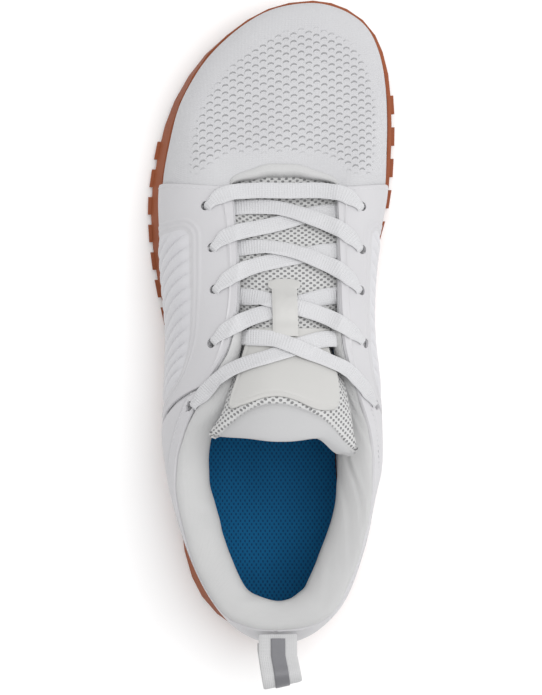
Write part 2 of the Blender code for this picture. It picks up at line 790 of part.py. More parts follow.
def build_insole(parent):
    """The sock liner, resting on the cup floor inside the upper's wall."""
    alongs = wall_places()
    places = both_sides(alongs)
    place_along = np.array([a for a, _ in places])
    flats = {}
    for inset in (0.0, 0.0022):
        ring = []
        for along, side in places:
            spot, out = lower_line(along, side)
            gap = UPPER_WALL + 2 * CLEARANCE + inset
            ring.append(spot - out * gap)
        flats[inset] = np.array(ring)
    low = cup_floor(place_along) + CLEARANCE
    count = len(places)
    rings = [
        np.column_stack([flats[0.0], low]),
        np.column_stack([flats[0.0], low + INSOLE_THICKNESS]),
        np.column_stack([flats[0.0022], low + INSOLE_THICKNESS * 0.86]),
    ]
    points = np.concatenate(rings)
    faces = []
    for level in range(2):
        for k in range(count):
            after = (k + 1) % count
            a, b = level * count, (level + 1) * count
            faces.append([a + k, a + after, b + after, b + k])
    for start, flip in ((0, True), (2 * count, False)):
        for k in range(len(alongs) - 1):
            lateral = (start + (count - k) % count, start + (count - k - 1) % count)
            ring = list(dict.fromkeys([start + k, start + k + 1, lateral[1], lateral[0]]))
            faces.append(ring[::-1] if flip else ring)
    return add_object("insole", points, faces, "insole_cloth", parent)


def turns_between(first, last, count):
    return np.linspace(first, last, count + 1)


def corner_turns():
    """Turns of the two throat corners and of the collar's two front ends."""
    corner = float(turn_of(FOOT_AT_THROAT_CORNER))
    front = float(turn_of(FOOT_AT_COLLAR_FRONT))
    return corner, front


def wall_turns():
    """Turns from heel to toe at which the rim, wall, lining and insole all have corners."""
    corner, front = corner_turns()
    turns = np.concatenate(
        [
            turns_between(0, front, COLLAR_CELLS)[:-1],
            turns_between(front, corner, THROAT_CELLS)[:-1],
            turns_between(corner, 1, TOE_CELLS),
        ]
    )
    return np.round(turns * 240) / 240


def wall_places():
    return (1 - np.cos(wall_turns() * math.pi)) / 2


def build_upper(skin, parent):
    """The hollow upper: knit toe box, sides and heel in one wall, open above and below."""
    medial = wall_turns()
    turns = np.concatenate([medial, 2 - medial[-2:0:-1]])
    levels = np.array(WALL_LEVELS)
    outer = np.array([[skin.point(t, v) for v in levels] for t in turns])
    inner = np.array([[skin.point(t, v, -UPPER_WALL) for v in levels] for t in turns])
    points, faces = shell_faces(outer, inner, True)
    upper = add_object("upper", points, faces, "knit", parent)
    return upper


def overlay_shell(name, skin, turns_at, levels, material, parent, thick, missing=(), lift=0.0):
    """A panel laid over the upper. turns_at gives the turns of one level's row."""
    rows = np.array([turns_at(v) for v in levels]).T
    low = PANEL_GAP + lift
    outer = np.array(
        [
            [skin.point(rows[i, j], v, low + thick(i, j)) for j, v in enumerate(levels)]
            for i in range(rows.shape[0])
        ]
    )
    inner = np.array(
        [
            [skin.point(rows[i, j], v, low) for j, v in enumerate(levels)]
            for i in range(rows.shape[0])
        ]
    )
    points, faces = shell_faces(outer, inner, False, missing)
    return add_object(name, points, faces, material, parent)


def seam_turns(skin, side, seam, level):
    """Turn at which a seam, given at three levels, crosses this level."""
    along = curve_through((0.0, LEVEL_WIDEST, 1.0), seam, level)
    return skin.turn_at(float(along), side, level)


def build_quarters(skin, parent):
    made = []
    for side, name in ((1, "medial"), (-1, "lateral")):
        columns = 13
        levels = np.array(QUARTER_LEVELS)

        def row(level):
            front = seam_turns(skin, side, QUARTER_FRONT, level)
            back = seam_turns(skin, side, QUARTER_BACK, level)
            return np.linspace(back, front, columns + 1)

        window = {(i, j) for i in range(1, columns - 3) for j in range(1, 5)}
        made.append(
            overlay_shell(
                "quarter_" + name, skin, row, levels, "smooth_panel", parent,
                lambda i, j: OVERLAY, window,
            )
        )
        made.append(build_ribs(skin, side, name, row, levels, columns, parent))
    return made


def build_ribs(skin, side, name, row, levels, columns, parent):
    """The ribbed panel inside the quarter's window, with one rounded rib after another."""
    low, high = 1, 5
    count = RIB_COUNT * 2
    rib_levels = np.array(levels[low : high + 1])
    margin = CLEARANCE / 0.10

    def rib_row(level):
        whole = row(level)
        first = np.interp(1, range(columns + 1), whole)
        last = np.interp(columns - 3, range(columns + 1), whole)
        inset = (last - first) * margin
        return np.linspace(first + inset, last - inset, count + 1)

    rib_levels[0] += margin * 2
    rib_levels[-1] -= margin * 2
    return overlay_shell(
        "ribs_" + name, skin, rib_row, rib_levels, "ribbed_panel", parent,
        lambda i, j: OVERLAY * 0.6 + (RIB_RELIEF if i % 2 else 0.0) * (0.4 if j in (0, 4) else 1.0),
    )


def build_heel_panel(skin, parent):
    levels = np.array(HEEL_LEVELS)
    columns = 16

    def row(level):
        joint = PANEL_JOINT
        seam = [place - joint for place in QUARTER_BACK]
        medial = seam_turns(skin, 1, seam, level)
        lateral = seam_turns(skin, -1, seam, level)
        return np.linspace(lateral - 2, medial, columns + 1)

    return overlay_shell(
        "heel_panel", skin, row, levels, "smooth_panel", parent, lambda i, j: OVERLAY,
        (), HEEL_LIFT,
    )


def build_throat_hem(skin, parent):
    """The folded hem across the front of the throat, of one width all along."""
    corner, _ = corner_turns()
    distances = (HEM_WIDTH, HEM_WIDTH * 0.55, 0.0008)
    heights = (0.5, 1.7, 1.2)
    turns = np.linspace(corner + 0.022, 2 - corner - 0.022, 13)
    outer = []
    inner = []
    for turn in turns:
        levels = [skin.level_at(turn, distance) for distance in distances]
        outer.append(
            [skin.point(turn, v, PANEL_GAP + OVERLAY * h) for v, h in zip(levels, heights)]
        )
        inner.append([skin.point(turn, v, PANEL_GAP) for v in levels])
    points, faces = shell_faces(np.array(outer), np.array(inner), False)
    return add_object("throat_hem", points, faces, "smooth_panel", parent)


def build_collar_lining(skin, parent):
    """The padded lining inside the collar, rolled over the top line."""
    medial = wall_turns()[: COLLAR_CELLS + 2]
    turns = np.concatenate([-medial[:0:-1], medial])
    reach = medial[-2]
    depth = UPPER_WALL + CLEARANCE * 1.3
    under = WALL_LEVELS[3:8]
    thick = (0.16, 0.24, 0.42, 0.72, 0.98)
    rows = []
    for turn in turns:
        end = smoothstep(reach * 1.02, reach * 0.66, abs(turn))
        pad = PADDING * (0.22 + 0.78 * end)
        roll = 0.0012 + pad * 0.30
        ring = [skin.point(turn, v, -depth) for v in under]
        ring.append(skin.point(turn, 1.0, -depth, CLEARANCE * 1.5))
        ring.append(skin.point(turn, 1.0, OVERLAY * 0.4, CLEARANCE * 2.5))
        ring.append(skin.point(turn, 1.0, -depth * 0.35, roll * 0.72))
        ring.append(skin.point(turn, 1.0, -depth - pad * 0.28, roll))
        ring.append(skin.point(turn, 1.0, -depth - pad * 0.70, roll * 0.70))
        ring.append(skin.point(turn, 1.0, -depth - pad * 0.97, -roll * 0.10))
        for v, share in reversed(list(zip(under, thick))):
            ring.append(skin.point(turn, v, -depth - pad * share))
        rows.append(ring)
    rows = np.array(rows)
    return add_tube("collar_lining", rows, "lining", parent)


def add_tube(name, rows, material, parent):
    """A solid from rings of points, one after another, with both ends closed."""
    count, around_ring = rows.shape[:2]
    points = rows.reshape(-1, 3)
    faces = []
    for i in range(count - 1):
        for j in range(around_ring):
            after = (j + 1) % around_ring
            a, b = i * around_ring, (i + 1) * around_ring
            faces.append([a + j, b + j, b + after])
            faces.append([a + j, b + after, a + after])
    faces.append(list(range(around_ring)))
    faces.append([(count - 1) * around_ring + j for j in range(around_ring)][::-1])
    return add_object(name, points, faces, material, parent)


class Roof:
    """Height of the upper and of the bridge across its throat over any place in plan."""

    def __init__(self, skin, out):
        corner, front = corner_turns()
        turns = np.linspace(0, 2, 161)
        levels = np.linspace(0.45, 1, 23)
        points = [skin.point(t, v, out) for t in turns for v in levels]
        count = len(levels)
        faces = [
            [i * count + j, (i + 1) * count + j, (i + 1) * count + j + 1, i * count + j + 1]
            for i in range(len(turns) - 1)
            for j in range(count - 1)
        ]
        across = np.linspace(0, 1, 17)
        start = len(points)
        bridge = np.concatenate([np.linspace(front * 0.93, corner, 25), np.linspace(corner, 1, 12)[1:]])
        for turn in bridge:
            ends = []
            for t in (turn, 2 - turn):
                edge = skin.point(t, 1.0, out)
                slope = skin.sample(skin.rising, t, 1.0)
                ends.append((edge, slope))
            span = np.linalg.norm(ends[0][0] - ends[1][0])
            reach = span * 0.36
            for share in across:
                points.append(
                    bezier(
                        ends[0][0],
                        ends[0][0] + ends[0][1] * reach,
                        ends[1][0] + ends[1][1] * reach,
                        ends[1][0],
                        share,
                    )
                )
        width = len(across)
        faces += [
            [
                start + i * width + j,
                start + (i + 1) * width + j,
                start + (i + 1) * width + j + 1,
                start + i * width + j + 1,
            ]
            for i in range(len(bridge) - 1)
            for j in range(width - 1)
        ]
        self.tree = BVHTree.FromPolygons([Vector(p) for p in points], faces)

    def height(self, x, y):
        hit = self.tree.ray_cast(Vector((x, y, 3 * INSTEP_HEIGHT)), Vector((0, 0, -1)))
        if hit[0] is None:
            hit = self.tree.find_nearest(Vector((x, y, INSTEP_HEIGHT)))
        return hit[0].z


def tongue_surface(skin):
    """Grid of the tongue's upper face: rows from under the vamp to the tip."""
    roof = Roof(skin, -(UPPER_WALL + CLEARANCE * 2))
    low_roof = Roof(skin, -(UPPER_WALL + CLEARANCE * 2 + TUCK_DEPTH))
    shares = np.linspace(-1, 1, TONGUE_COLUMNS + 1)
    rows = []
    alongs = np.linspace(TONGUE_SECTIONS[0][0], TONGUE_SECTIONS[-1][0], 11)
    for along in alongs:
        medial = float(column(TONGUE_SECTIONS, 2, along, False)) * BALL_WIDTH
        lateral = float(column(TONGUE_SECTIONS, 3, along, False)) * BALL_WIDTH
        swell = float(column(TONGUE_SECTIONS, 1, along, False)) * BALL_WIDTH
        tuck = float(column(TONGUE_SECTIONS, 4, along, False))
        ring = []
        for share in shares:
            x = share * (medial if share > 0 else lateral)
            y = along * SOLE_LENGTH
            side = 1 if share > 0 else -1
            open_width = throat_half_width(along, side) * BALL_WIDTH - 0.001
            lift = swell * max(0.0, 1 - (abs(x) / open_width) ** 2) if open_width > 0 else 0.0
            level = roof.height(x, y)
            level += (low_roof.height(x, y) - level) * tuck
            ring.append((x, y, level - CLEARANCE + lift))
        rows.append(ring)
    for along, height, medial, lateral, droop in TONGUE_TIP:
        ring = []
        for share in shares:
            x = share * (medial if share > 0 else lateral) * BALL_WIDTH
            fall = abs(share) ** 2.2 * droop * BALL_WIDTH
            ring.append((x, along * SOLE_LENGTH, height * INSTEP_HEIGHT - fall))
        rows.append(ring)
    return np.array(rows)


def throat_half_width(along, side):
    """Half width of the opening at a place along, in shares of the ball width."""
    places = [row[1] for row in EDGE_SECTIONS]
    values = [row[2 if side > 0 else 3] for row in EDGE_SECTIONS]
    if along >= places[-1]:
        return 0.0
    return max(0.0, float(np.interp(along, places, values)))


def grid_normals(grid):
    d_row = np.gradient(grid, axis=0)
    d_column = np.gradient(grid, axis=1)
    normal = np.cross(d_column, d_row)
    normal /= np.linalg.norm(normal, axis=2)[:, :, None]
    return np.where(normal[:, :, 2:3] < 0, -normal, normal)


def build_tongue(surface, parent):
    normal = grid_normals(surface)
    rows, columns = surface.shape[:2]
    thick = np.ones((rows, columns, 1)) * TONGUE_THICKNESS
    thick[:, (0, -1)] *= 0.35
    thick[0] *= 0.4
    thick[-1] *= 0.5
    points, faces = shell_faces(surface, surface - normal * thick, False)
    return add_object("tongue", points, faces, "tongue_mesh", parent)


def on_grid(grid, along, across):
    """Point on a grid of rows along the shoe, for a place along and across."""
    y = along * SOLE_LENGTH
    x = across * BALL_WIDTH
    levels = grid[:, :, 1].mean(1)
    row = float(np.interp(-y, -levels, range(len(levels))))
    k = min(int(row), len(levels) - 2)
    line = grid[k] * (1 - row + k) + grid[k + 1] * (row - k)
    return np.array([np.interp(x, line[:, 0], line[:, c]) for c in range(3)])


def build_label(surface, parent):
    """The smooth label, on the tongue from the lace keeper to near its free end."""
    rows = []
    last = len(LABEL_SECTIONS) - 1
    for number, (along, medial, lateral) in enumerate(LABEL_SECTIONS):
        line = []
        for share in np.linspace(-1, 1, 7):
            across = share * (medial if share > 0 else lateral)
            pull = 0.010 * abs(share) ** 4 if number == last else 0.0
            line.append(on_grid(surface, along + pull, across))
        rows.append(line)
    rows = np.array(rows)
    normal = grid_normals(rows)
    low = rows + normal * (CLEARANCE * 2)
    points, faces = shell_faces(low + normal * LABEL_THICKNESS, low, False)
    add_object("tongue_label", points, faces, "label", parent)
    return low + normal * LABEL_THICKNESS


class Ground:
    """What a lace lies on: the panels and the tongue, seen from above."""

    def __init__(self, skin, surface):
        turns = np.linspace(0, 2, 161)
        levels = np.linspace(0.35, 1, 27)
        points = [skin.point(t, v, OVERLAY + PANEL_GAP) for t in turns for v in levels]
        count = len(levels)
        faces = [
            [i * count + j, (i + 1) * count + j, (i + 1) * count + j + 1, i * count + j + 1]
            for i in range(len(turns) - 1)
            for j in range(count - 1)
        ]
        self.parts = [(points, faces)]
        self.add_grid(surface)

    def add_grid(self, grid):
        rows, columns = grid.shape[:2]
        faces = [
            [i * columns + j, (i + 1) * columns + j, (i + 1) * columns + j + 1, i * columns + j + 1]
            for i in range(rows - 1)
            for j in range(columns - 1)
        ]
        self.parts.append(([tuple(p) for p in grid.reshape(-1, 3)], faces))
        points, polygons = [], []
        for more, cells in self.parts:
            start = len(points)
            points += [Vector(tuple(map(float, p))) for p in more]
            polygons += [[k + start for k in cell] for cell in cells]
        self.tree = BVHTree.FromPolygons(points, polygons)

    def height(self, x, y):
        hit = self.tree.ray_cast(Vector((x, y, 3 * INSTEP_HEIGHT)), Vector((0, 0, -1)))
        return hit[0].z if hit[0] is not None else None


def taut(reach, heights):
    """Heights of a line pulled tight over the given heights."""
    hull = []
    for point in zip(reach, heights):
        while len(hull) > 1:
            (x0, z0), (x1, z1) = hull[-2], hull[-1]
            if (x1 - x0) * (point[1] - z0) - (z1 - z0) * (point[0] - x0) < 0:
                break
            hull.pop()
        hull.append(point)
    return np.interp(reach, [p[0] for p in hull], [p[1] for p in hull])


def lace_grid(ground, start, end, width, bump=0.0, lift=CLEARANCE * 2.5, count=9):
    """Underside of a flat band pulled tight from one place to another."""
    start, end = np.array(start), np.array(end)
    ahead = (end - start) / np.linalg.norm(end - start)
    across = np.array([-ahead[1], ahead[0]])
    fine = np.linspace(0, 1, 49)
    reach = fine * np.linalg.norm(end - start)
    lanes = []
    for offset in (-0.5, 0.0, 0.5):
        line = start + (end - start) * fine[:, None] + across * offset * width
        spread = [ground.height(*p) for p in line]
        known = [z for z in spread if z is not None]
        spread = np.array([known[0] if z is None else z for z in spread])
        spread = spread + bump * np.exp(-(((fine - 0.45) / 0.16) ** 2))
        heights = taut(reach, spread) + lift
        places = np.linspace(0, 1, count)
        lanes.append(
            [
                (*(start + (end - start) * p + across * offset * width), np.interp(p, fine, heights))
                for p in places
            ]
        )
    lanes = np.array(lanes)
    steepest = width / 2 * 0.75
    lanes[1, :, 2] = np.maximum(lanes[1, :, 2], lanes[(0, 2), :, 2].max(0) - steepest)
    for lane in (0, 2):
        lanes[lane, :, 2] = np.maximum(lanes[lane, :, 2], lanes[1, :, 2] - steepest)
    return lanes.transpose(1, 0, 2)


def add_band(name, grid, thickness, material, parent, helper=False):
    normal = grid_normals(grid)
    points, faces = shell_faces(grid + normal * thickness, grid, False)
    return add_object(name, points, faces, material, parent, helper)


def place(along, across):
    return (across * BALL_WIDTH, along * SOLE_LENGTH)


def build_laces(ground, surface, parent):
    """The straight bar in the front row and four crossings."""
    along, medial, lateral = EYELETS[0]
    bar = lace_grid(ground, place(along, -lateral), place(along, medial), LACE_WIDTH)
    made = [add_band("lace_bar", bar, LACE_THICKNESS, "lace", parent)]
    held = None
    for row in range(4):
        along, medial, lateral = LACE_STARTS[row]
        end_along, end_medial, end_lateral = EYELETS[row + 1]
        lift = CLEARANCE * (4.5 if row == 3 else 2.5)
        ends = place(along, medial), place(end_along, -end_lateral)
        under = lace_grid(ground, *ends, LACE_WIDTH, 0.0, lift)
        ends = place(along, -lateral), place(end_along, end_medial)
        over = lace_grid(ground, *ends, LACE_WIDTH, LACE_THICKNESS * 0.7, lift)
        name = "lace_crossing_%d" % (row + 1)
        crossing = add_band(name, over, LACE_THICKNESS, "lace", parent)
        helper = add_band(name + "_helper", under, LACE_THICKNESS, None, parent, True)
        made.append(joined(crossing, [helper]))
        if row == 2:
            held = (over, under)
    return made, held


def build_keeper(ground, laces, parent):
    """The strap on the tongue that holds the third crossing."""
    for grid in laces:
        ground.add_grid(grid + grid_normals(grid) * LACE_THICKNESS)
    first, last, across, width = KEEPER
    ends = place(first, across), place(last, across)
    grid = lace_grid(ground, *ends, width * BALL_WIDTH, 0.0, CLEARANCE * 3.5, 10)
    return add_band("tongue_keeper", grid, LABEL_THICKNESS, "label", parent)


def build_loop(skin, parent):
    """The webbing loop at the back of the heel and the stripe along it."""
    off = OVERLAY + PANEL_GAP + CLEARANCE + LOOP_THICKNESS * 0.6
    ends = [skin.point(0, v, off) for v in LOOP_ENDS]
    path = [(ends[0][1], ends[0][2])]
    path += [(-behind * LOOP_REACH, height * HEEL_HEIGHT) for behind, height in LOOP_PATH]
    path += [(ends[1][1], ends[1][2])]
    path = np.array(path)
    spread = np.concatenate([[0], np.cumsum(np.linalg.norm(np.diff(path, axis=0), axis=1))])
    where = np.linspace(0, spread[-1], 17)
    line = np.stack([curve_through(spread, path[:, c], where) for c in (0, 1)], 1)
    ahead = np.gradient(line, axis=0)
    ahead /= np.linalg.norm(ahead, axis=1)[:, None]
    out = np.stack([ahead[:, 1], -ahead[:, 0]], 1)
    centre = line.mean(0)
    if ((line - centre) * out).sum() < 0:
        out = -out

    def ring(width, low, high, trim):
        rows = []
        picked = slice(trim, len(line) - trim)
        for (y, z), (ny, nz) in zip(line[picked], out[picked]):
            shift = LOOP_LEAN * max(0.0, -y) / LOOP_REACH
            rows.append(
                [
                    (shift - width / 2, y + ny * low, z + nz * low),
                    (shift + width / 2, y + ny * low, z + nz * low),
                    (shift + width / 2, y + ny * high, z + nz * high),
                    (shift - width / 2, y + ny * high, z + nz * high),
                ]
            )
        return np.array(rows)

    loop = ring(LOOP_WIDTH, -LOOP_THICKNESS / 2, LOOP_THICKNESS / 2, 0)
    top = LOOP_THICKNESS / 2 + 0.0001
    stripe = ring(STRIPE_WIDTH, top, top + STRIPE_THICKNESS, 1)
    return [
        add_tube("pull_loop", loop, "webbing", parent),
        add_tube("loop_stripe", stripe, "reflector", parent),
    ]


def punch_eyelets(skin, targets, parent):
    """Lace holes through the wall and the panels over it."""
    number = 0
    for along, medial, lateral in EYELETS:
        for across in (medial, -lateral):
            number += 1
            spot, normal = surface_at(skin, *place(along, across))
            cutter = pin("eyelet_cutter_%02d" % number, spot, normal, parent)
            for target in targets:
                cut = target.modifiers.new("eyelet_%02d" % number, "BOOLEAN")
                cut.operation = "DIFFERENCE"
                cut.solver = "EXACT"
                cut.object = cutter


def surface_at(skin, x, y):
    """Point and normal of the upper's outer surface above a place in plan."""
    turns = np.linspace(0, 2, 241)
    levels = np.linspace(0.35, 1, 66)
    best = None
    side = 1 if x > 0 else -1
    for turn in turns:
        if (turn <= 1) != (side > 0):
            continue
        for level in levels:
            point = skin.sample(skin.grid, turn, level)
            gap = (point[0] - x) ** 2 + (point[1] - y) ** 2
            if best is None or gap < best[0]:
                best = (gap, turn, level)
    _, turn, level = best
    return skin.point(turn, level), skin.sample(skin.normal, turn, level)


def pin(name, spot, normal, parent):
    """A short round cutter along the surface's normal."""
    axis = np.array(normal) / np.linalg.norm(normal)
    side = np.cross(axis, (0, 1, 0))
    side /= np.linalg.norm(side)
    up = np.cross(axis, side)
    points = []
    for depth in (-UPPER_WALL * 2, OVERLAY * 4):
        for k in range(PIN_SIDES):
            angle = 2 * math.pi * k / PIN_SIDES
            rim = side * math.cos(angle) + up * math.sin(angle)
            points.append(spot + axis * depth + rim * EYELET_DIAMETER / 2)
    count = PIN_SIDES
    faces = [list(range(count))[::-1], list(range(count, 2 * count))]
    faces += [
        [k, (k + 1) % count, (k + 1) % count + count, k + count] for k in range(count)
    ]
    return add_object(name, points, faces, None, parent, True)


def origin_place():
    return ORIGIN_ALONG * SOLE_LENGTH - APEX_SHARE * ORIGIN_LUG_WIDTH * BALL_WIDTH


def clear_scene():
    for old in list(bpy.data.objects):
        bpy.data.objects.remove(old)


def main():
    clear_scene()
    frame = bpy.data.objects.new("shoe_frame", None)
    bpy.context.scene.collection.objects.link(frame)
    frame.location = (0, -origin_place(), 0)
    skin = Skin()
    build_outsole(frame)
    build_insole(frame)
    upper = build_upper(skin, frame)
    quarters = build_quarters(skin, frame)
    heel_panel = build_heel_panel(skin, frame)
    build_throat_hem(skin, frame)
    build_collar_lining(skin, frame)
    punch_eyelets(skin, [upper, quarters[0], quarters[2], heel_panel], frame)
    surface = tongue_surface(skin)
    build_tongue(surface, frame)
    label_top = build_label(surface, frame)
    ground = Ground(skin, surface)
    ground.add_grid(label_top)
    _, third = build_laces(ground, surface, frame)
    build_keeper(ground, third, frame)
    build_loop(skin, frame)


main()
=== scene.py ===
import math

import bmesh
import bpy
import numpy as np
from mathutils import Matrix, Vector
from mathutils.bvhtree import BVHTree


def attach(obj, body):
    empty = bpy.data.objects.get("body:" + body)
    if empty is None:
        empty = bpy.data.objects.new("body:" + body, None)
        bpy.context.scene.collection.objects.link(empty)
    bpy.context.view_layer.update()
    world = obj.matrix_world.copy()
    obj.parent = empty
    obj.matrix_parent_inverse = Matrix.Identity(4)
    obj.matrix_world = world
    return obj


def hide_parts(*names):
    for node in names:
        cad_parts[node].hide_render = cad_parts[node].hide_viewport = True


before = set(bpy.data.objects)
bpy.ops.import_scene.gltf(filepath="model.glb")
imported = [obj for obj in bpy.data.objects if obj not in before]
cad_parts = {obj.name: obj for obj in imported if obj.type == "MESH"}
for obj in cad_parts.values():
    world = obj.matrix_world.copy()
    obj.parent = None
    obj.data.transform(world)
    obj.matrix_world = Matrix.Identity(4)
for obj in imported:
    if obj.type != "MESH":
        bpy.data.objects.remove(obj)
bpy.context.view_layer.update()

print("frame loaded:", len(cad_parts), "solids")

# The last. Lengths in metres, shares in the tables as noted there.
last = {
    "length": 0.280,
    "ballWidth": 0.107,
    "heelWidth": 0.0785,
    "toeSpring": 0.011,
    "heelBevel": 0.003,
    "lugDepth": 0.003,
    "soleBase": 0.0035,
    "rimRise": 0.0062,
    "rimWall": 0.0018,
    "instep": 0.071,
    "heel": 0.069,
    "wall": 0.0020,
    "gap": 0.0003,
    "panelGap": 0.0007,
    "overlay": 0.0008,
    "originY": 0.042363,
    "levelRim": 0.11,
    "levelWidest": 0.33,
}

# along, medial, lateral, welt medial, welt lateral
soleRows = (
    (0.000, 0.000, 0.000, 0.010, 0.010),
    (0.0214, 0.247, 0.256, 0.010, 0.018),
    (0.0684, 0.394, 0.413, 0.010, 0.030),
    (0.127, 0.462, 0.490, 0.008, 0.030),
    (0.186, 0.483, 0.517, 0.008, 0.022),
    (0.250, 0.437, 0.531, 0.008, 0.014),
    (0.320, 0.424, 0.538, 0.008, 0.008),
    (0.400, 0.404, 0.508, 0.008, 0.010),
    (0.480, 0.389, 0.489, 0.008, 0.018),
    (0.557, 0.405, 0.494, 0.008, 0.028),
    (0.620, 0.437, 0.498, 0.008, 0.034),
    (0.690, 0.484, 0.502, 0.008, 0.036),
    (0.760, 0.500, 0.476, 0.008, 0.034),
    (0.830, 0.501, 0.427, 0.008, 0.028),
    (0.880, 0.488, 0.360, 0.007, 0.022),
    (0.926, 0.454, 0.266, 0.006, 0.014),
    (0.960, 0.401, 0.155, 0.005, 0.008),
    (0.985, 0.315, 0.041, 0.004, 0.006),
    (1.000, 0.160, -0.160, 0.004, 0.004),
)
# foot, bulge medial, bulge lateral, height, rise
bodyRows = (
    (0.000, 0.014, 0.014, 0.330, 0.230),
    (0.068, 0.014, -0.006, 0.330, 0.230),
    (0.127, 0.022, 0.011, 0.340, 0.220),
    (0.186, 0.046, 0.034, 0.350, 0.200),
    (0.270, 0.130, 0.066, 0.365, 0.180),
    (0.340, 0.138, 0.070, 0.360, 0.190),
    (0.420, 0.106, 0.050, 0.330, 0.260),
    (0.520, 0.046, 0.022, 0.280, 0.330),
    (0.620, 0.006, 0.008, 0.220, 0.330),
    (0.720, -0.006, 0.012, 0.180, 0.300),
    (0.850, -0.008, 0.010, 0.165, 0.240),
    (0.930, 0.000, 0.008, 0.155, 0.175),
    (1.000, 0.006, 0.006, 0.150, 0.150),
)
# foot, along, medial, lateral, height, out, down
edgeRows = (
    (0.000, 0.043, 0.000, 0.000, 1.000, 0.020, 0.130),
    (0.0214, 0.048, 0.112, 0.112, 0.995, 0.020, 0.130),
    (0.068, 0.068, 0.206, 0.206, 0.975, 0.020, 0.130),
    (0.127, 0.114, 0.280, 0.285, 0.920, 0.022, 0.120),
    (0.186, 0.171, 0.332, 0.345, 0.860, 0.030, 0.110),
    (0.270, 0.257, 0.370, 0.388, 0.815, 0.040, 0.100),
    (0.340, 0.325, 0.356, 0.360, 0.845, 0.060, 0.095),
    (0.400, 0.385, 0.308, 0.295, 0.910, 0.090, 0.085),
    (0.455, 0.450, 0.252, 0.198, 1.000, 0.130, 0.080),
    (0.520, 0.504, 0.238, 0.162, 0.968, 0.150, 0.070),
    (0.600, 0.566, 0.238, 0.150, 0.880, 0.160, 0.060),
    (0.700, 0.634, 0.239, 0.158, 0.775, 0.170, 0.045),
    (0.780, 0.678, 0.240, 0.168, 0.706, 0.200, 0.045),
    (0.850, 0.706, 0.242, 0.178, 0.660, 0.240, 0.060),
    (0.930, 0.722, 0.130, 0.075, 0.645, 0.330, 0.080),
    (1.000, 0.727, 0.034, -0.034, 0.640, 0.400, 0.095),
)
collarFront = 0.455
throatCorner = 0.850

# Lace holes from the front row to the top row: along, medial, lateral
laceHoles = (
    (0.671, 0.336, 0.275),
    (0.605, 0.329, 0.251),
    (0.541, 0.321, 0.243),
    (0.464, 0.334, 0.251),
    (0.368, 0.388, 0.333),
)


def smoothStep(low, high, value):
    share = np.clip((np.asarray(value, float) - low) / (high - low), 0.0, 1.0)
    return share * share * (3 - 2 * share)


def curveThrough(places, values, where):
    places, values = np.asarray(places, float), np.asarray(values, float)
    slopes = np.gradient(values, places)
    where = np.clip(where, places[0], places[-1])
    cell = np.clip(np.searchsorted(places, where) - 1, 0, len(places) - 2)
    step = places[cell + 1] - places[cell]
    s = (where - places[cell]) / step
    return (
        (1 + 2 * s) * (1 - s) ** 2 * values[cell]
        + s * (1 - s) ** 2 * step * slopes[cell]
        + s * s * (3 - 2 * s) * values[cell + 1]
        + s * s * (s - 1) * step * slopes[cell + 1]
    )


def turnOf(foot):
    return np.arccos(np.clip(1 - 2 * np.asarray(foot, float), -1, 1)) / math.pi


def fromRows(rows, number, share):
    return curveThrough(turnOf([row[0] for row in rows]), [row[number] for row in rows], share)


def footOf(turn):
    turn = np.asarray(turn, float) % 2.0
    side = np.where(turn <= 1, 1.0, -1.0)
    share = np.where(turn <= 1, turn, 2 - turn)
    return side, share, (1 - np.cos(share * math.pi)) / 2


def cupFloor(foot):
    toe = np.clip((foot - 0.70) / 0.30, 0, 1) ** 2 * last["toeSpring"]
    heel = np.clip((0.085 - foot) / 0.085, 0, 1) ** 2 * last["heelBevel"]
    return toe + heel + last["lugDepth"] + last["soleBase"]


def bySide(rows, number, side, share):  # the medial column, or the lateral one after it
    return np.where(side > 0, fromRows(rows, number, share), fromRows(rows, number + 1, share))


def soleEdge(turn):
    side, share, foot = footOf(turn)
    width = last["heelWidth"] + (last["ballWidth"] - last["heelWidth"]) * smoothStep(0.30, 0.65, foot)
    return np.stack([side * bySide(soleRows, 1, side, share) * width, foot * last["length"]], -1)


def lowerLine(turn, extra=0.0):
    side, share, _ = footOf(turn)
    ahead = soleEdge(turn + 0.004) - soleEdge(turn - 0.004)
    out = np.stack([ahead[..., 1], -ahead[..., 0]], -1)
    out /= np.linalg.norm(ahead, axis=-1)[..., None]
    inset = bySide(soleRows, 3, side, share) * last["ballWidth"] + last["rimWall"] + last["gap"] + extra
    return soleEdge(turn) - out * inset[..., None], out


def bezier(p0, p1, p2, p3, s):
    k = 1 - s
    return k**3 * p0 + 3 * k * k * s * p1 + 3 * k * s * s * p2 + s**3 * p3


def unit(v):
    return v / np.maximum(np.linalg.norm(v, axis=-1), 1e-9)[..., None]


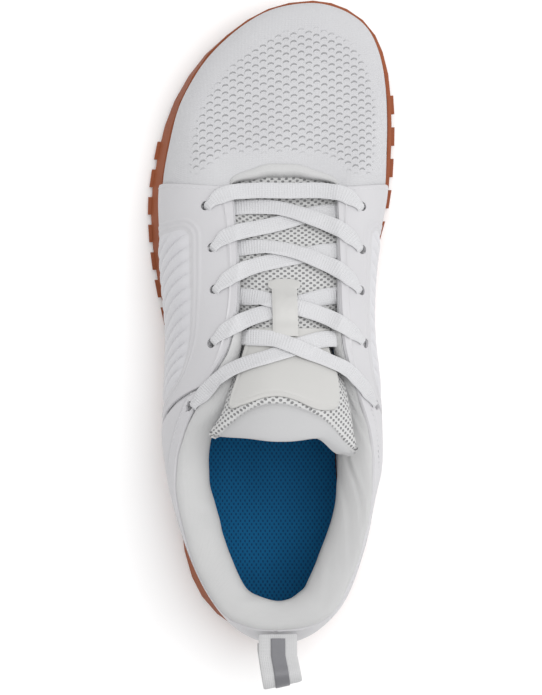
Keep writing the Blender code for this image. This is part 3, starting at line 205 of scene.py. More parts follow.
def lastPoint(turn, level):
    turn, level = np.broadcast_arrays(np.asarray(turn, float), np.asarray(level, float))
    side, share, foot = footOf(turn)
    base, out = lowerLine(turn)
    floor = cupFloor(foot)
    zero = np.zeros_like(foot)
    up = np.array([0.0, 0.0, 1.0])
    start = np.stack([base[..., 0], base[..., 1], floor + last["gap"]], -1)
    bulge = bySide(bodyRows, 1, side, share)
    widest = start + np.stack([out[..., 0], out[..., 1], zero], -1) * (bulge * last["ballWidth"])[..., None]
    widest = widest + up * (fromRows(bodyRows, 3, share) * last["instep"])[..., None]
    rise = fromRows(bodyRows, 4, share) * last["instep"]
    along = fromRows(edgeRows, 1, share)
    across = side * bySide(edgeRows, 2, side, share)
    front = smoothStep(0.25, 0.42, along)
    high = fromRows(edgeRows, 4, share) * (last["heel"] * (1 - front) + last["instep"] * front)
    top = np.stack([across * last["ballWidth"], along * last["length"], high], -1)
    away = unit((widest - top) * np.array([1.0, 1.0, 0.0]))
    arrive = top + away * (fromRows(edgeRows, 5, share) * last["ballWidth"])[..., None]
    arrive = arrive - up * (fromRows(edgeRows, 6, share) * last["ballWidth"])[..., None]
    ends = 0.45 * smoothStep(0.80, 1.0, foot) + 0.65 * smoothStep(0.16, 0.0, foot)
    rim = start + up * (last["rimRise"] * (1 + ends) + last["gap"])[..., None]
    low, mid = last["levelRim"], last["levelWidest"]
    a = np.clip(level / low, 0, 1)[..., None]
    b = np.clip((level - low) / (mid - low), 0, 1)[..., None]
    c = np.clip((level - mid) / (1 - mid), 0, 1)[..., None]
    reach = up * ((widest[..., 2] - rim[..., 2]) * 0.45)[..., None]
    first = start + (rim - start) * a
    second = bezier(rim, rim + reach, widest - reach, widest, b)
    third = bezier(widest, widest + up * rise[..., None], arrive, top, c)
    lv = level[..., None]
    return np.where(lv <= low, first, np.where(lv <= mid, second, third))


def skinFrame(turn, level):
    turn, level = np.broadcast_arrays(np.asarray(turn, float), np.asarray(level, float))
    here = lastPoint(turn, level)
    ahead = lastPoint(turn + 0.004, level) - lastPoint(turn - 0.004, level)
    up = lastPoint(turn, np.minimum(level + 0.012, 1)) - lastPoint(turn, np.maximum(level - 0.012, 0))
    return here, unit(np.cross(ahead, up)), unit(up)


def skinAt(turn, level, out=0.0, beyond=0.0):
    here, normal, up = skinFrame(turn, level)
    out, beyond = np.asarray(out, float), np.asarray(beyond, float)
    return here + normal * out[..., None] + up * beyond[..., None]


def travelled(points):  # distance along a line of points
    return np.concatenate([[0], np.cumsum(np.linalg.norm(np.diff(points, axis=0), axis=1))])


def walked(points, axis):  # the same over a grid, along one axis
    steps = np.linalg.norm(np.diff(points, axis=axis), axis=2)
    pad = [(0, 0), (0, 0)]
    pad[axis] = (1, 0)
    return np.cumsum(np.pad(steps, pad), axis=axis)


def resampled(line, count, gone=None):  # a smooth line at even steps, and the distance along it
    gone = travelled(line) if gone is None else gone
    where = np.linspace(0, gone[-1], count)
    return np.stack([curveThrough(gone, column, where) for column in line.T], 1), where


def readAt(where, places, table):  # the rows of a table of points, read between its places
    return np.stack([np.interp(where, places, column) for column in table.T], -1)


def levelBelow(turn, distance):  # the level this far below the opening's edge
    levels = np.linspace(1.0, 0.5, 60)
    return float(np.interp(distance, travelled(lastPoint(np.full(60, turn), levels)), levels))


def turnAlong(along, side, level):  # the turn at a place along the sole, on one side
    turns = np.linspace(0.0 if side > 0 else 2.0, 1.0, 161)
    reach = np.maximum.accumulate(lastPoint(turns, np.full(161, level))[:, 1])
    return float(np.interp(along * last["length"], reach, turns))


def gridNormals(grid):
    normal = unit(np.cross(np.gradient(grid, axis=1), np.gradient(grid, axis=0)))
    return np.where(normal[:, :, 2:3] < 0, -normal, normal)


def softNoise(x, y, seed, scale):  # smooth value noise from -1 to 1
    rng = np.random.default_rng(seed)
    field = rng.uniform(-1, 1, (64, 64))
    u, v = np.asarray(x) / scale, np.asarray(y) / scale
    i, j = np.floor(u).astype(int), np.floor(v).astype(int)
    a, b = u - i, v - j
    a, b = a * a * (3 - 2 * a), b * b * (3 - 2 * b)
    at = lambda p, q: field[p % 64, q % 64]
    near = at(i, j) * (1 - a) + at(i + 1, j) * a
    far = at(i, j + 1) * (1 - a) + at(i + 1, j + 1) * a
    return near * (1 - b) + far * b


def gridFaces(spot):  # the four corners of each cell of a grid of point numbers
    return np.stack([spot[:-1, :-1], spot[1:, :-1], spot[1:, 1:], spot[:-1, 1:]], -1)


def addObject(name, data):
    thing = bpy.data.objects.new(name, data)
    bpy.context.scene.collection.objects.link(thing)
    return thing


def makeMesh(name, points, faces, uv, masks=None, sharp=35):  # uv is the pattern's place in metres
    mesh = bpy.data.meshes.new(name)
    points = np.asarray(points, float) - np.array([0, last["originY"], 0])
    mesh.from_pydata(points.tolist(), [], [list(map(int, f)) for f in faces])
    corner = np.zeros(len(mesh.loops), int)
    mesh.loops.foreach_get("vertex_index", corner)
    layer = mesh.uv_layers.new(name="patternPlace")
    layer.data.foreach_set("uv", (np.asarray(uv, float) * 1000)[corner].ravel())
    for mask, values in (masks or {}).items():
        mesh.attributes.new(mask, "FLOAT", "POINT").data.foreach_set("value", np.asarray(values, float))
    mesh.shade_smooth()
    mesh.set_sharp_from_angle(angle=math.radians(sharp))
    return addObject(name, mesh)


def shellMesh(name, outer, inner, uv, keep=None, closed=False, masks=None, sharp=35):
    rows, columns = outer.shape[:2]
    spot = np.arange(rows * columns).reshape(rows, columns)
    if closed:
        spot = np.concatenate([spot, spot[:1]])
    corners = gridFaces(spot)
    cells = len(corners)
    if keep is None:
        keep = np.ones((cells, columns - 1), bool)
    a, b, c, d = np.moveaxis(corners, -1, 0)
    other = rows * columns
    top = corners[keep]
    faces = [top, top[:, ::-1] + other]
    padded = np.pad(keep, 1)
    if closed:
        padded[0, 1:-1], padded[-1, 1:-1] = keep[-1], keep[0]
    for (di, dj), (p, q) in (((-1, 0), (a, d)), ((1, 0), (c, b)), ((0, -1), (b, a)), ((0, 1), (d, c))):
        bare = keep & ~padded[1 + di : 1 + di + cells, 1 + dj : columns + dj]
        faces.append(np.stack([p[bare], q[bare], q[bare] + other, p[bare] + other], -1))
    faces = np.concatenate(faces)
    points = np.concatenate([outer.reshape(-1, 3), inner.reshape(-1, 3)])
    tri = points[faces]
    if np.einsum("ij,ij->", tri[:, 0], np.cross(tri[:, 1] - tri[:, 0], tri[:, 2] - tri[:, 0])) < 0:
        faces = faces[:, ::-1]
    used = np.unique(faces)
    renumber = np.zeros(len(points), int)
    renumber[used] = np.arange(len(used))
    twice = lambda grid: np.concatenate([np.asarray(grid, float).reshape(other, -1)] * 2)[used]
    values = {k: twice(v)[:, 0] for k, v in (masks or {}).items()}
    return makeMesh(name, points[used], renumber[faces], twice(uv), values, sharp)


def settle(piece, slotName, finish, *nodes):
    piece.data.materials.clear()
    piece.data.materials.append(finishes[finish])
    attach(piece, "root")
    if nodes:
        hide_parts(*nodes)
    return piece


# Effects shared by the materials
class NodeMaker:  # writes the nodes of one tree in few words
    def __init__(self, tree):
        self.tree = tree

    def feed(self, socket, value):
        if isinstance(value, bpy.types.NodeSocket):
            self.tree.links.new(value, socket)
        else:
            socket.default_value = value

    def node(self, kind, *values, **settings):
        made = self.tree.nodes.new("ShaderNode" + kind)
        for label, value in settings.items():
            setattr(made, label, value)
        for socket, value in zip(made.inputs, values):
            self.feed(socket, value)
        return made

    def calc(self, operation, *values):
        return self.node("Math", *values, operation=operation).outputs[0]

    def times(self, *values):
        return self.calc("MULTIPLY", *values)

    def plus(self, *values):
        return self.calc("ADD", *values)

    def less(self, *values):
        return self.calc("SUBTRACT", *values)

    def ramp(self, value, low, high, first=0.0, second=1.0):  # smooth step between two values
        made = self.node("MapRange", value, low, high, first, second, interpolation_type="SMOOTHSTEP")
        return made.outputs[0]

    def blend(self, share, first, second):
        made = self.node("Mix", share, data_type="RGBA")
        self.feed(made.inputs[6], first)
        self.feed(made.inputs[7], second)
        return made.outputs[2]

    def noise(self, place, scale, detail):
        made = self.node("TexNoise")
        for label, value in (("Vector", place), ("Scale", scale), ("Detail", detail)):
            self.feed(made.inputs[label], value)
        return made.outputs[0]


class Effect(NodeMaker):  # a node group, with the first values of its inputs and the names of its outputs
    def __init__(self, name, given, *results):
        super().__init__(bpy.data.node_groups.new(name, "ShaderNodeTree"))
        kinds = {"Place": "Vector", "Colour": "Color", "Shade": "Color"}
        for way, labels in (("INPUT", ("Place", *given)), ("OUTPUT", results)):
            for label in labels:
                kind = "NodeSocket" + kinds.get(label, "Float")
                socket = self.tree.interface.new_socket(name=label, in_out=way, socket_type=kind)
                if way == "INPUT" and label in given:
                    socket.default_value = given[label]
        self.given = self.tree.nodes.new("NodeGroupInput").outputs
        self.result = self.tree.nodes.new("NodeGroupOutput").inputs

    def waves(self, shape, circle):  # one wave across the pattern and one along it
        split = self.node("SeparateXYZ", self.given["Place"]).outputs
        return [self.calc(shape, self.calc("DIVIDE", self.times(split[k], circle), self.given[label]))
                for k, label in enumerate(("Across", "Along"))]


def buildTint():  # broad change of tint, as cloth and rubber have
    first = {"Colour": (0.8, 0.8, 0.8, 1), "Shade": (0.7, 0.7, 0.7, 1), "Scale": 40.0, "Amount": 0.4}
    e = Effect("clothTint", first, "Colour")
    cloud = e.noise(e.given["Place"], e.given["Scale"], 3.0)
    share = e.times(e.ramp(cloud, 0.35, 0.7), e.given["Amount"])
    e.feed(e.result["Colour"], e.blend(share, e.given["Colour"], e.given["Shade"]))
    return e.tree


def buildGrain():  # fine grain as a height
    e = Effect("fineGrain", {"Scale": 1500.0}, "Height")
    coarse = e.noise(e.given["Place"], e.times(e.given["Scale"], 0.35), 1.0)
    fine = e.noise(e.given["Place"], e.given["Scale"], 3.0)
    e.feed(e.result["Height"], e.plus(e.times(coarse, 0.5), fine))
    return e.tree


def buildWeave():  # over and under threads on a pattern place in millimetres
    e = Effect("plainWeave", {"Across": 0.7, "Along": 0.7}, "Height")
    waves = [e.calc("ABSOLUTE", wave) for wave in e.waves("SINE", math.pi)]
    e.feed(e.result["Height"], e.times(*waves))
    return e.tree


def buildHoles():  # staggered holes between the threads of an open mesh
    e = Effect("meshHoles", {"Across": 4.4, "Along": 3.3, "Size": 0.4}, "Mask")
    inside = e.plus(e.times(*e.waves("COSINE", 2 * math.pi)), e.given["Size"])
    e.feed(e.result["Mask"], e.ramp(inside, 0.60, 0.95))
    return e.tree


def buildArches():  # small arches pulled into the knit, on a staggered lattice
    e = Effect("knitArches", {"Across": 6.6, "Along": 3.4, "Slant": 0.12}, "Mask", "Puff")
    x, y, _ = e.node("SeparateXYZ", e.given["Place"]).outputs
    y = e.less(y, e.times(x, e.given["Slant"]))
    column = e.times(e.calc("DIVIDE", x, e.given["Across"]), 2.0)
    odd = e.times(e.calc("MODULO", e.calc("ABSOLUTE", e.calc("FLOOR", column)), 2.0), 0.5)
    fx = e.times(e.less(e.calc("FRACT", column), 0.5), 0.5)
    fy = e.less(e.calc("FRACT", e.plus(e.calc("DIVIDE", y, e.given["Along"]), odd)), 0.5)
    arch = e.times(e.calc("POWER", e.calc("ABSOLUTE", e.times(fx, 4.6)), 2.0), 0.20)
    bent = e.plus(fy, arch)
    short = e.ramp(e.calc("ABSOLUTE", fx), 0.15, 0.235, 1.0, 0.0)
    e.feed(e.result["Mask"], e.times(e.ramp(e.calc("ABSOLUTE", bent), 0.02, 0.12, 1.0, 0.0), short))
    below = e.times(e.ramp(bent, -0.45, -0.12), e.ramp(bent, -0.12, 0.0, 1.0, 0.0))
    e.feed(e.result["Puff"], e.times(below, short))
    return e.tree


groups = {tree.name: tree for tree in (buildTint(), buildGrain(), buildWeave(), buildHoles(), buildArches())}
print("effects ready:", ", ".join(sorted(groups)))


class Finish(NodeMaker):  # a material
    def __init__(self, name, roughness, **sockets):
        self.material = bpy.data.materials.new(name)
        self.material.use_nodes = True
        super().__init__(self.material.node_tree)
        self.shader = self.tree.nodes["Principled BSDF"]
        for label, value in {"Roughness": roughness, **sockets}.items():
            self.shader.inputs[label.replace("_", " ")].default_value = value
        self.object = self.node("TexCoord").outputs["Object"]
        self.pattern = self.node("UVMap", uv_map="patternPlace").outputs[0]

    def group(self, name, place, **values):
        made = self.node("Group", place, node_tree=groups[name])
        for label, value in values.items():
            self.feed(made.inputs[label], value)
        return made.outputs

    def grain(self, scale):
        return self.group("fineGrain", self.object, Scale=scale)[0]

    def weave(self, across, along):
        return self.group("plainWeave", self.pattern, Across=across, Along=along)[0]

    def mask(self, name):
        return self.node("Attribute", attribute_name=name).outputs["Fac"]

    def tint(self, colour, shade, scale=40.0, amount=0.4):
        colours = {"Colour": (*colour, 1), "Shade": (*shade, 1)}
        return self.group("clothTint", self.object, **colours, Scale=scale, Amount=amount)[0]

    def done(self, colour, height=None, distance=0.0):
        self.feed(self.shader.inputs["Base Color"], colour)
        if height is not None:
            bump = self.node("Bump")
            bump.inputs["Distance"].default_value = distance
            bump.inputs["Strength"].default_value = 1.0
            self.feed(bump.inputs["Height"], height)
            self.feed(self.shader.inputs["Normal"], bump.outputs[0])
        return self.material


whites = {
    "knit": ((0.535, 0.535, 0.548), (0.500, 0.497, 0.514)),
    "panel": ((0.520, 0.515, 0.530), (0.492, 0.486, 0.503)),
    "rib": ((0.555, 0.552, 0.572), (0.520, 0.518, 0.540)),
    "lining": ((0.548, 0.548, 0.548), (0.514, 0.514, 0.518)),
    "tongue": ((0.545, 0.545, 0.543), (0.512, 0.512, 0.510)),
    "label": ((0.490, 0.486, 0.474), (0.468, 0.464, 0.454)),
    "lace": ((0.590, 0.590, 0.604), (0.555, 0.555, 0.572)),
    "tape": ((0.540, 0.540, 0.545), (0.505, 0.505, 0.515)),
}


def knitFinish():
    f = Finish("knitCloth", 0.88, Sheen_Weight=0.15)
    arches = f.group("knitArches", f.pattern)
    zone = f.mask("archZone")
    # the arches' hollows: dented in the bump, and painted dark grey as shade in the colour
    dark = f.times(arches["Mask"], zone)
    ribs = f.weave(0.62, 0.9)
    archShaded = f.blend(f.times(dark, 0.45), f.tint(*whites["knit"]), (0.22, 0.22, 0.235, 1))
    # painted shade between the ribs, where the weave is low
    light = f.blend(f.times(f.less(1.0, ribs), 0.10), archShaded, (0.45, 0.45, 0.47, 1))
    puff = f.times(f.times(arches["Puff"], zone), 0.5)
    return f.done(light, f.plus(f.less(puff, dark), f.times(ribs, 0.28)), 0.00045)


def panelFinish(name, tones, grain=1400.0, depth=0.00006, roughness=0.5):
    f = Finish(name, roughness, Coat_Weight=0.0)
    return f.done(f.tint(*tones), f.grain(grain), depth)


# gap is how strongly the painted shade darkens the low parts between the threads
def clothFinish(name, tones, across, along, depth, roughness=0.85, gap=0.14):
    f = Finish(name, roughness, Sheen_Weight=0.15)
    weave = f.weave(across, along)
    shade = (*[v * 0.55 for v in tones[1]], 1)
    # painted shade: the weave's low parts, between the threads, are darkened
    colour = f.blend(f.times(f.less(1.0, weave), gap), f.tint(*tones), shade)
    return f.done(colour, f.plus(weave, f.times(f.grain(1800.0), 0.25)), depth)


def meshFinish(name, tones, holeShade, lattice, depth, strength, lip=None):
    f = Finish(name, 0.85, Specular_IOR_Level=0.25)
    across, along, size = lattice
    holes = f.group("meshHoles", f.pattern, Across=across, Along=along, Size=size)[0]
    base = f.tint(*tones)
    if lip:
        holes = f.times(holes, f.less(1.0, f.mask(lip)))
        # painted shade: the padded lip is coloured a darker grey, to dim a part that faces the lamps
        base = f.blend(f.mask(lip), base, (0.44, 0.44, 0.445, 1))
    # painted shade: the holes are coloured darker, as the shade that falls inside them
    colour = f.blend(f.times(holes, strength), base, (*holeShade, 1))
    return f.done(colour, f.less(f.times(f.grain(1600.0), 0.2), holes), depth)


def gumFinish():
    f = Finish("gumRubber", 0.58, Specular_IOR_Level=0.25, Coat_Weight=0.03, Coat_Roughness=0.3)
    base = f.tint((0.270, 0.072, 0.025), (0.205, 0.052, 0.017), 30.0, 0.55)
    speck = f.ramp(f.noise(f.object, 900.0, 2.0), 0.60, 0.74)
    return f.done(f.blend(f.times(speck, 0.35), base, (0.34, 0.110, 0.042, 1)), f.grain(900.0), 0.00008)


def stripeFinish():
    f = Finish("reflectiveStripe", 0.45, Metallic=0.2)
    weave = f.weave(0.5, 0.5)
    base = f.tint((0.150, 0.150, 0.160), (0.120, 0.120, 0.130), 60.0, 0.5)
    # painted highlight: the weave's raised threads are coloured lighter
    return f.done(f.blend(f.times(weave, 0.35), base, (0.22, 0.22, 0.235, 1)), weave, 0.00005)


finishes = {
    "knit": knitFinish(),
    "panel": panelFinish("smoothPanel", whites["panel"]),
    "rib": panelFinish("ribbedPanel", whites["rib"], 1000.0, 0.00005, 0.42),
    "label": panelFinish("smoothLabel", whites["label"], 2000.0, 0.00004, 0.48),
    "lining": clothFinish("liningCloth", whites["lining"], 0.55, 0.55, 0.00010),
    "lace": clothFinish("laceBraid", whites["lace"], 0.9, 0.55, 0.00012, 0.8, 0.10),
    "tape": clothFinish("loopTape", whites["tape"], 0.8, 0.6, 0.00014, 0.8, 0.16),
    "thread": clothFinish("sewingThread", whites["lace"], 0.3, 0.3, 0.00003, 0.7, 0.05),
    # the third colour of the tongue and insole finishes is painted shade for their holes
    "tongue": meshFinish("tongueMesh", whites["tongue"], (0.16, 0.16, 0.165),
                         (3.1, 2.4, 0.42), 0.00040, 0.85, "lip"),
    "insole": meshFinish("insoleCloth", ((0.0035, 0.125, 0.300), (0.0025, 0.100, 0.250)), (0.001, 0.035, 0.110),
                         (2.0, 3.0, 0.46), 0.00018, 0.7),
    "gum": gumFinish(),
    "stripe": stripeFinish(),
}
print("materials ready:", len(finishes))


def holeSpots():
    spots = []
    for along, medial, lateral in laceHoles:
        for across, side in ((medial, 1), (-lateral, -1)):
            x, y = across * last["ballWidth"], along * last["length"]
            turns = np.linspace(0, 1, 241) if side > 0 else np.linspace(1, 2, 241)
            t, v = np.meshgrid(turns, np.linspace(0.35, 1, 131), indexing="ij")
            points = lastPoint(t, v)
            best = np.argmin((points[..., 0] - x) ** 2 + (points[..., 1] - y) ** 2)
            spots.append(skinFrame(t.ravel()[best], v.ravel()[best])[:2])
    return spots


spots = holeSpots()


def openHoles(outer, inner, radius):  # pulls grid corners onto each hole's rim and opens its cells
    rows, columns = outer.shape[:2]
    keep = np.ones((rows, columns), bool)
    for spot, normal in spots:
        for grid in (outer, inner):
            off = grid - spot
            flat = off - (off @ normal)[..., None] * normal
            far = np.linalg.norm(flat, axis=2)
            near = (far < radius * 1.35) & (np.linalg.norm(off, axis=2) < radius * 2.5)
            pull = near & (far > radius * 0.62)
            grid[pull] += flat[pull] * ((radius - far[pull]) / far[pull])[:, None]
            if grid is outer:
                keep &= ~(near & (far <= radius * 0.62))
    return keep


def cellKeep(corner, closed):
    after = np.roll(corner, -1, 0) if closed else corner[1:]
    here = corner if closed else corner[:-1]
    return here[:, :-1] & here[:, 1:] & after[:, :-1] & after[:, 1:]


# Knit upper
knit = {
    "turns": 560,
    "levels": 72,
    "holeRadius": 0.0021,
    "archInset": (0.0100, 0.0150),   # how far inside the outline the arches fade in
    "archBack": (0.716, 0.034),      # where they begin behind, and how much later in the middle
    "ripple": 0.00035,
}


def buildUpper():
    turns = np.linspace(0, 2, knit["turns"], endpoint=False)
    t, v = np.meshgrid(turns, np.linspace(0, 1, knit["levels"]), indexing="ij")
    here, normal, _ = skinFrame(t, v)
    _, _, foot = footOf(t)
    wave = softNoise(here[..., 0], here[..., 1], 3, 0.013) * knit["ripple"]
    wave *= smoothStep(0.62, 0.75, foot) * smoothStep(0.2, 0.45, v)
    outer = here + normal * wave[..., None]
    inner = here - normal * last["wall"]
    keep = cellKeep(openHoles(outer, inner, knit["holeRadius"]), True)
    down = walked(outer[:, ::-1], 1)[:, ::-1]
    fan = unit((here[:, :1] - here[:, -1:]) * np.array([1, 1, 0.0]))
    flat = here[:, -1:, :2] + fan[..., :2] * down[..., None]
    rimGap = np.linalg.norm(lowerLine(t)[0] - here[..., :2], axis=2)
    inside = smoothStep(*knit["archInset"], rimGap) * smoothStep(0.33, 0.5, v)
    start = knit["archBack"][0] + knit["archBack"][1] * smoothStep(0.036, 0.018, np.abs(here[..., 0]))
    back = smoothStep(0, 0.018, here[..., 1] / last["length"] - start)
    zone = inside * back * smoothStep(0.006, 0.011, down)
    settle(shellMesh("knitUpper", outer, inner, flat, keep, True, {"archZone": zone}), "knit", "knit", "upper")


buildUpper()
print("upper done")

# Panels over the knit
panels = {
    "quarterFront": (0.712, 0.712, 0.700),
    "quarterBack": (0.300, 0.335, 0.402),
    "joint": 0.0035,
    "quarterLevels": (0.11, 0.995),
    "heelLevels": (0.11, 1.0),
    "window": (1 / 13, 10 / 13, 0.22, 0.72),
    "windowCorner": 0.0055,
    "ribPitch": 0.0058,
    "ribHeight": 0.0013,
    "ribLean": 0.0085,
    "edgeRound": 0.0009,
    "ribBase": 0.00045,
    "throatRidge": (0.0040, 0.0007, 0.0005),     # distance below the edge, half width, height
    "windowBeads": (-0.0012, -0.0036),     # places from the window's edge
    "beadHalf": 0.0008,
    "beadHeight": 0.0003,
    "collarBand": 0.0085,
    "bandHeight": 0.00035,
    "bandGroove": 0.00025,
    "dropWidth": 0.0008,     # how far below the opening the panels grow thinner, and by how much
    "quarterDrop": 0.0005,
    "heelDrop": 0.0006,
    "heelSeam": 0.0003,
    "heelWaves": 0.0003,
    "quarterGrid": (230, 110),
    "heelGrid": (260, 90),
}


def seamTurns(side, seam, levels):
    alongs = curveThrough((0.0, last["levelWidest"], 1.0), seam, levels)
    return np.array([turnAlong(a, side, v) for a, v in zip(alongs, levels)])


def roundedEdge(distance, width):
    share = np.clip(distance / width, 0, 1)
    return np.sqrt(np.clip(1 - (1 - share) ** 2, 0, 1))


def bead(distance, middle, half):  # a round raised line
    return np.clip(1 - ((distance - middle) / half) ** 2, 0, 1) ** 0.7


def windowDistance(x, y, x0, x1, y0, y1, corner):  # positive inside a rounded window
    dx, dy = np.minimum(x - x0, x1 - x), np.minimum(y - y0, y1 - y)
    inCorner = (dx < corner) & (dy < corner)
    round_ = corner - np.hypot(corner - dx, corner - dy)
    return np.where(inCorner, round_, np.minimum(dx, dy))


def panelGrid(start, end, rows, levels):  # skin between two seams, with the distances walked over it
    t = start + (end - start) * np.linspace(0, 1, rows)[:, None]
    here, normal, _ = skinFrame(t, np.broadcast_to(levels, t.shape))
    x, y = walked(here, 0), walked(here, 1)
    return here, normal, x, y, y[:, -1:] - y


def overKnit(here, normal, height):  # a panel's outer and inner points, and its cells outside the lace holes
    outer = here + normal * (last["panelGap"] + height)[..., None]
    inner = here + normal * (last["panelGap"] - 0.0002)
    return outer, inner, cellKeep(openHoles(outer, inner, knit["holeRadius"]), False)


def buildQuarter(side, name):
    rows, columns = panels["quarterGrid"]
    levels = np.linspace(*panels["quarterLevels"], columns)
    seams = (seamTurns(side, panels[seam], levels) for seam in ("quarterBack", "quarterFront"))
    here, normal, x, y, down = panelGrid(*seams, rows, levels)
    s0, s1, v0, v1 = panels["window"]
    x0, x1 = (x[int(round(share * (rows - 1)))][None] for share in (s0, s1))
    y0, y1 = (y[:, int(round(np.interp(level, levels, range(columns))))][:, None] for level in (v0, v1))
    inside = windowDistance(x, y, x0, x1, y0, y1, panels["windowCorner"])
    edge = np.minimum(np.minimum(x, x[-1:] - x), down)
    height = last["overlay"] * roundedEdge(edge, panels["edgeRound"])
    height -= panels["quarterDrop"] * (1 - roundedEdge(down, panels["dropWidth"]))
    ridge, half, high = panels["throatRidge"]
    height += high * bead(down, ridge, half) * smoothStep(0, 0.02, x)
    beads = [bead(inside, middle, panels["beadHalf"]) for middle in panels["windowBeads"]]
    height += panels["beadHeight"] * sum(beads)
    ribs = smoothStep(0.0, 0.0012, inside)
    lean = panels["ribLean"] * smoothStep(0, 1, (y - y0) / (y1 - y0))
    crest = np.abs(np.sin((x - x0 - lean) / panels["ribPitch"] * math.pi)) ** 0.75
    fade = 0.25 + 0.75 * smoothStep(0.0, 0.006, inside)
    ribHeight = panels["ribBase"] + panels["ribHeight"] * crest * fade
    outer, inner, keep = overKnit(here, normal, height * (1 - ribs) + ribHeight * ribs)
    uv = np.stack([x, y], -1)
    isRib = (inside[:-1, :-1] > 0.0006) & (inside[1:, 1:] > 0.0006)
    parts = (("quarter_", ~isRib, "smooth_panel", "panel"), ("ribs_", isRib, "ribbed_panel", "rib"))
    for node, part, slot, finish in parts:
        piece = shellMesh(node + name + "_panel", outer, inner, uv, keep & part)
        settle(piece, slot, finish, node + name)
    return here, normal, x


def buildHeel():
    rows, columns = panels["heelGrid"]
    levels = np.linspace(*panels["heelLevels"], columns)
    seam = [place - panels["joint"] for place in panels["quarterBack"]]
    lateral = seamTurns(-1, seam, levels) - 2
    here, normal, x, y, down = panelGrid(lateral, seamTurns(1, seam, levels), rows, levels)
    band = panels["collarBand"]
    edge = np.minimum(np.minimum(x, x[-1:] - x), down + 0.0001)
    height = last["overlay"] * roundedEdge(edge, panels["edgeRound"])
    height -= panels["heelDrop"] * (1 - roundedEdge(down, panels["dropWidth"]))
    height += panels["bandHeight"] * smoothStep(band + 0.0006, band, down)
    height -= panels["bandGroove"] * bead(down, band + 0.0009, 0.0009)
    middle = bead(np.abs(x - x[-1:] / 2), 0.0, panels["beadHalf"])
    height -= panels["heelSeam"] * middle * smoothStep(0.022, 0.016, down)
    height += panels["heelWaves"] * softNoise(x, y, 8, 0.02) * smoothStep(0, 0.01, down)
    outer, inner, keep = overKnit(here, normal, height)
    piece = shellMesh("heelPanel", outer, inner, np.stack([x, y], -1), keep)
    settle(piece, "smooth_panel", "panel", "heel_panel")
    return here, normal, down


medialSide = buildQuarter(1, "medial")
lateralSide = buildQuarter(-1, "lateral")
heelSide = buildHeel()
print("panels done")

# Folded hem in front of the throat
hem = {
    "front": 0.0032,
    "over": 0.0023,
    "thick": 0.0012,
    "curl": 0.0040,
    "ends": 0.006,
    "rows": 170,
    "steps": 24,
}


def buildHem():
    corner = float(turnOf(throatCorner))
    turns = np.linspace(corner - hem["ends"], 2 - corner + hem["ends"], hem["rows"])
    spread = np.abs(turns - 1) / (1 - corner + hem["ends"])
    full = np.clip(1 - spread ** 3.5, 0.02, 1)
    s = np.linspace(0, 1, hem["steps"])
    front = hem["front"] * (0.35 + 0.65 * full)
    away = front[:, None] - (front + hem["over"] * full)[:, None] * s  # below the edge, negative beyond it
    levels = np.array([[levelBelow(turn, max(d, 0)) for d in row] for turn, row in zip(turns, away)])
    t = np.broadcast_to(turns[:, None], levels.shape)
    crown = np.sqrt(np.clip(1 - (2 * s - 1) ** 2, 0, 1)) ** 0.8
    past = np.maximum(-away, 0)
    sink = past ** 2 / hem["curl"]
    lift = 0.0002 + hem["thick"] * crown[None, :] * (0.4 + 0.6 * full[:, None])
    outer = skinAt(t, levels, lift - sink, past)
    inner = skinAt(t, levels, -0.0004 - sink - 0.0006 * (past > 0), past)
    uv = np.stack([walked(outer, 0), walked(outer, 1)], -1)
    settle(shellMesh("throatHem", outer, inner, uv), "smooth_panel", "lining", "throat_hem")


buildHem()

# Padded collar lining
collar = {
    "padding": 0.0105,
    "turnRows": 260,
    "pucker": 0.00035,
    "under": (0.33, 0.45, 0.58, 0.72, 0.87),     # levels of the inner wall
    "foam": (0.16, 0.24, 0.42, 0.72, 0.98),     # shares of the padding there
    "smoothing": 60,
    "rounding": 3,
    # turn, spread, extra thickness
    "swells": ((0.0, 0.10, -0.0018), (0.225, 0.09, 0.0030), (-0.290, 0.085, 0.0022),
               (0.374, 0.028, 0.0062), (0.090, 0.060, 0.0012), (-0.080, 0.050, 0.0008)),
    "settled": (0.3, 0.7, 1, 1, 1, 1, 1, 1),     # share of the smoothing, from the roll's crown inwards
    "lean": (-0.437, 0.025, 0.0085),     # where the roll leans over the tongue's side
}


